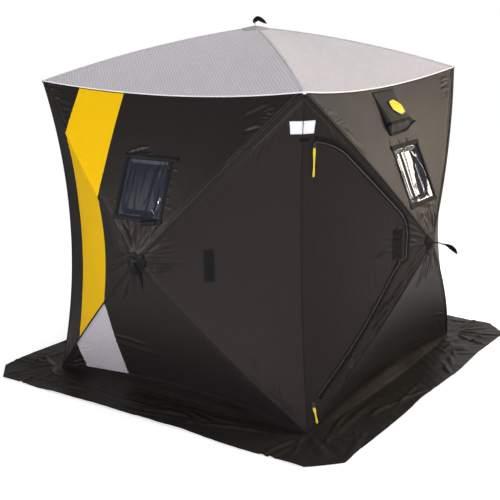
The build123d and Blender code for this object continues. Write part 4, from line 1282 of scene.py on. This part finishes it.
for panel in PANEL.values():
    panel.heart = panel.surface(np.array([0.5]), np.array([0.3]))[0]
stitch_rows = row_tree("stitch rows", "X")
for kind, body, finish in (("root", "root", THREAD), ("door", "door", THREAD), ("pale", "root", PALE_THREAD)):
    row_piece(f"{kind}_stitches", threads[kind], stitch_rows, body, "webbing", Pitch=0.0100, Length=0.0064,
              Width=0.0011, Finish=finish, Seed=4)
row_piece("zip_teeth", [coil_line], row_tree("zip teeth", "Y"), "door", "zip_tape", Pitch=0.0030,
          Length=0.0054, Width=0.0016, Finish=ZIP_COIL, Seed=2)

# the frame's own parts keep their CAD shapes
own_finish = dict.fromkeys(("pole_hubs", "top_corner_sockets", "bottom_corner_sockets"), MOULD)
own_finish["vent_meshes"] = MESH
for name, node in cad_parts.items():
    finish = ROD if name.endswith("_poles") else own_finish.get(name)
    if finish:
        node.data.materials.clear()
        node.data.materials.append(finish)


# ---- camera and lamps ----
camera_data = bpy.data.cameras.new("view")
camera = bpy.context.scene.camera = placed("view", camera_data)
camera_data.lens, camera_data.sensor_width, camera_data.clip_end = 68.33, 36, 60
camera_data.shift_x, camera_data.shift_y = -0.0207, -0.0682
azimuth, elevation, roll = (math.radians(a) for a in (-55.49, 12.81, -1.15))
back = Vector((math.sin(azimuth), -math.cos(azimuth), math.tan(elevation))) * math.cos(elevation)
right = Vector((0, 0, 1)).cross(back).normalized()
up = back.cross(right)
level = right * math.cos(roll) + up * math.sin(roll)
above_view = up * math.cos(roll) - right * math.sin(roll)
turn = Matrix((level, above_view, back)).transposed().to_4x4()
camera.matrix_world = Matrix.Translation((-4.74466, -3.27134, 2.18960)) @ turn

for name, place, aim, size, power, colour in (
        ("key light", (6.0, -5.0, 3.2), (0, 0, 0.9), (3.0, 3.0), 400, "#fff0dd"),
        ("top light", (0.5, -0.5, 6.0), (0, 0, 1.0), (5.0, 5.0), 138, "#ffffff"),
        ("fill light", (-5.8, -2.7, 1.3), (-0.9, -0.2, 0.9), (3.6, 2.6), 200, "#f4f4ff"),
        ("front light", (2.0, -5.6, 1.1), (0, -0.9, 0.9), (3.0, 1.6), 85, "#fff6ec"),
        # only gloss shows this low panel: it draws the sheen on the folds over the left hub
        ("sheen panel", (-5.97, 3.54, 0.76), (-1.1, 0, 0.95), (1.6, 1.2), 560, "#f2f4ff")):
    data = bpy.data.lights.new(name, "AREA")
    data.shape, data.size, data.size_y, data.energy = "RECTANGLE", *size, power
    data.color = linear(colour)[:3]
    lamp = placed(name, data)
    lamp.location = place
    lamp.rotation_euler = (Vector(aim) - Vector(place)).to_track_quat("-Z", "Y").to_euler()
    lamp.visible_camera = False
    lamp.visible_diffuse = lamp.visible_transmission = name != "sheen panel"


# ---- floor and backdrop ----
def rays(tree):
    """Whether a ray is glossy, and whether it is seen straight or through the films."""
    path = add(tree, "LightPath").outputs
    seen = add(tree, "Math", {0: path["Is Camera Ray"], 1: path["Is Transmission Ray"]}, operation="MAXIMUM")
    return path["Is Glossy Ray"], seen.outputs[0]


floor = mesh_object("floor", [(-30, -30, 0), (30, -30, 0), (30, 30, 0), (-30, 30, 0)], [(0, 1, 2, 3)])
floor_paint, tree = new_material("white studio floor")
glossy, seen = rays(tree)
place = add(tree, "TexCoord").outputs["Object"]
# the ice inside the hut is lit only by what comes in
across = add(tree, "VectorMath", {0: place}, operation="ABSOLUTE")
across = add(tree, "SeparateXYZ", {0: across}).outputs
across = add(tree, "Math", {0: across[0], 1: across[1]}, operation="MAXIMUM")
outside = add(tree, "MapRange", {"Value": across, "From Min": 0.90, "From Max": 0.95, "To Max": 0.62})
glow = add(tree, "Math", {0: seen, 1: outside}, operation="MULTIPLY")
glow = add(tree, "Math", {0: glossy, 1: 0.25, 2: glow}, operation="MULTIPLY_ADD")
paint = add(tree, "BsdfPrincipled", {
    "Base Color": linear("#e6e6e6"), "Roughness": 0.9, "Specular IOR Level": 0.1,
    "Emission Color": (1, 1, 1, 1), "Emission Strength": glow})
# far from the hut the floor goes over to the backdrop's white, so that no horizon shows
far = add(tree, "VectorMath", {0: place}, operation="LENGTH").outputs["Value"]
# gloss sees a dim floor behind the hut: a painted shade on the floor, which darkens what the walls mirror
rear = add(tree, "SeparateXYZ", {0: place}).outputs[1]
for out, near, full, most, ray, shine in ((far, 2.4, 5.0, 1.0, seen, 1.0),
                                          (rear, 0.9, 2.6, 0.85, glossy, 0.08)):
    fade = add(tree, "MapRange", {"Value": out, "From Min": near, "From Max": full, "To Max": most},
               interpolation_type="SMOOTHSTEP")
    fade = add(tree, "Math", {0: fade, 1: ray}, operation="MULTIPLY")
    glow = add(tree, "Emission", {"Color": (1, 1, 1, 1), "Strength": shine})
    paint = add(tree, "MixShader", {0: fade, 1: paint, 2: glow})
add(tree, "OutputMaterial", {"Surface": paint})
floor.data.materials.append(floor_paint)

world = bpy.context.scene.world = bpy.data.worlds.new("studio")
world.use_nodes = True
tree = world.node_tree
tree.nodes.clear()
glossy, seen = rays(tree)
# gloss shows the white backdrop low down, and the dimmer ceiling above it
way = add(tree, "TexCoord").outputs["Generated"]
height = add(tree, "SeparateXYZ", {0: way}).outputs[2]
gloss = add(tree, "MapRange", {"Value": height, "From Min": 0.06, "From Max": 0.48, "To Min": 1.0,
                               "To Max": 0.58})
for toward, near, full, least, most, curve, use in (
        # one bright panel stands on the right, and the rest of the room is dimmer
        ((0.94, 0.34, 0.0), 0.80, 0.95, 0.6, 1.6, "SMOOTHSTEP", "MULTIPLY"),
        # the room is dark behind the hut
        ((-0.16, 0.98, 0.0), 0.35, 0.90, 1.0, 0.15, "LINEAR", "MULTIPLY"),
        # a low panel far to the left draws soft streaks in the film of the left window
        ((-0.79, 0.61, 0.05), 0.92, 0.99, 0.0, 1.1, "SMOOTHSTEP", "ADD")):
    facing = add(tree, "VectorMath", {0: way, 1: toward}, operation="DOT_PRODUCT").outputs["Value"]
    light = add(tree, "MapRange", {"Value": facing, "From Min": near, "From Max": full, "To Min": least,
                                   "To Max": most}, interpolation_type=curve)
    gloss = add(tree, "Math", {0: gloss, 1: light}, operation=use)
# what isn't gloss lights the hut evenly, and is white where it is seen
even = add(tree, "MapRange", {"Value": seen, "To Min": 0.35, "To Max": 1.0})
strength = add(tree, "Mix", {0: glossy, 2: even, 3: gloss}, data_type="FLOAT")
paint = add(tree, "Background", {"Color": (1, 1, 1, 1), "Strength": strength})
add(tree, "OutputWorld", {"Surface": paint})
bpy.context.scene.view_settings.view_transform = "Standard"
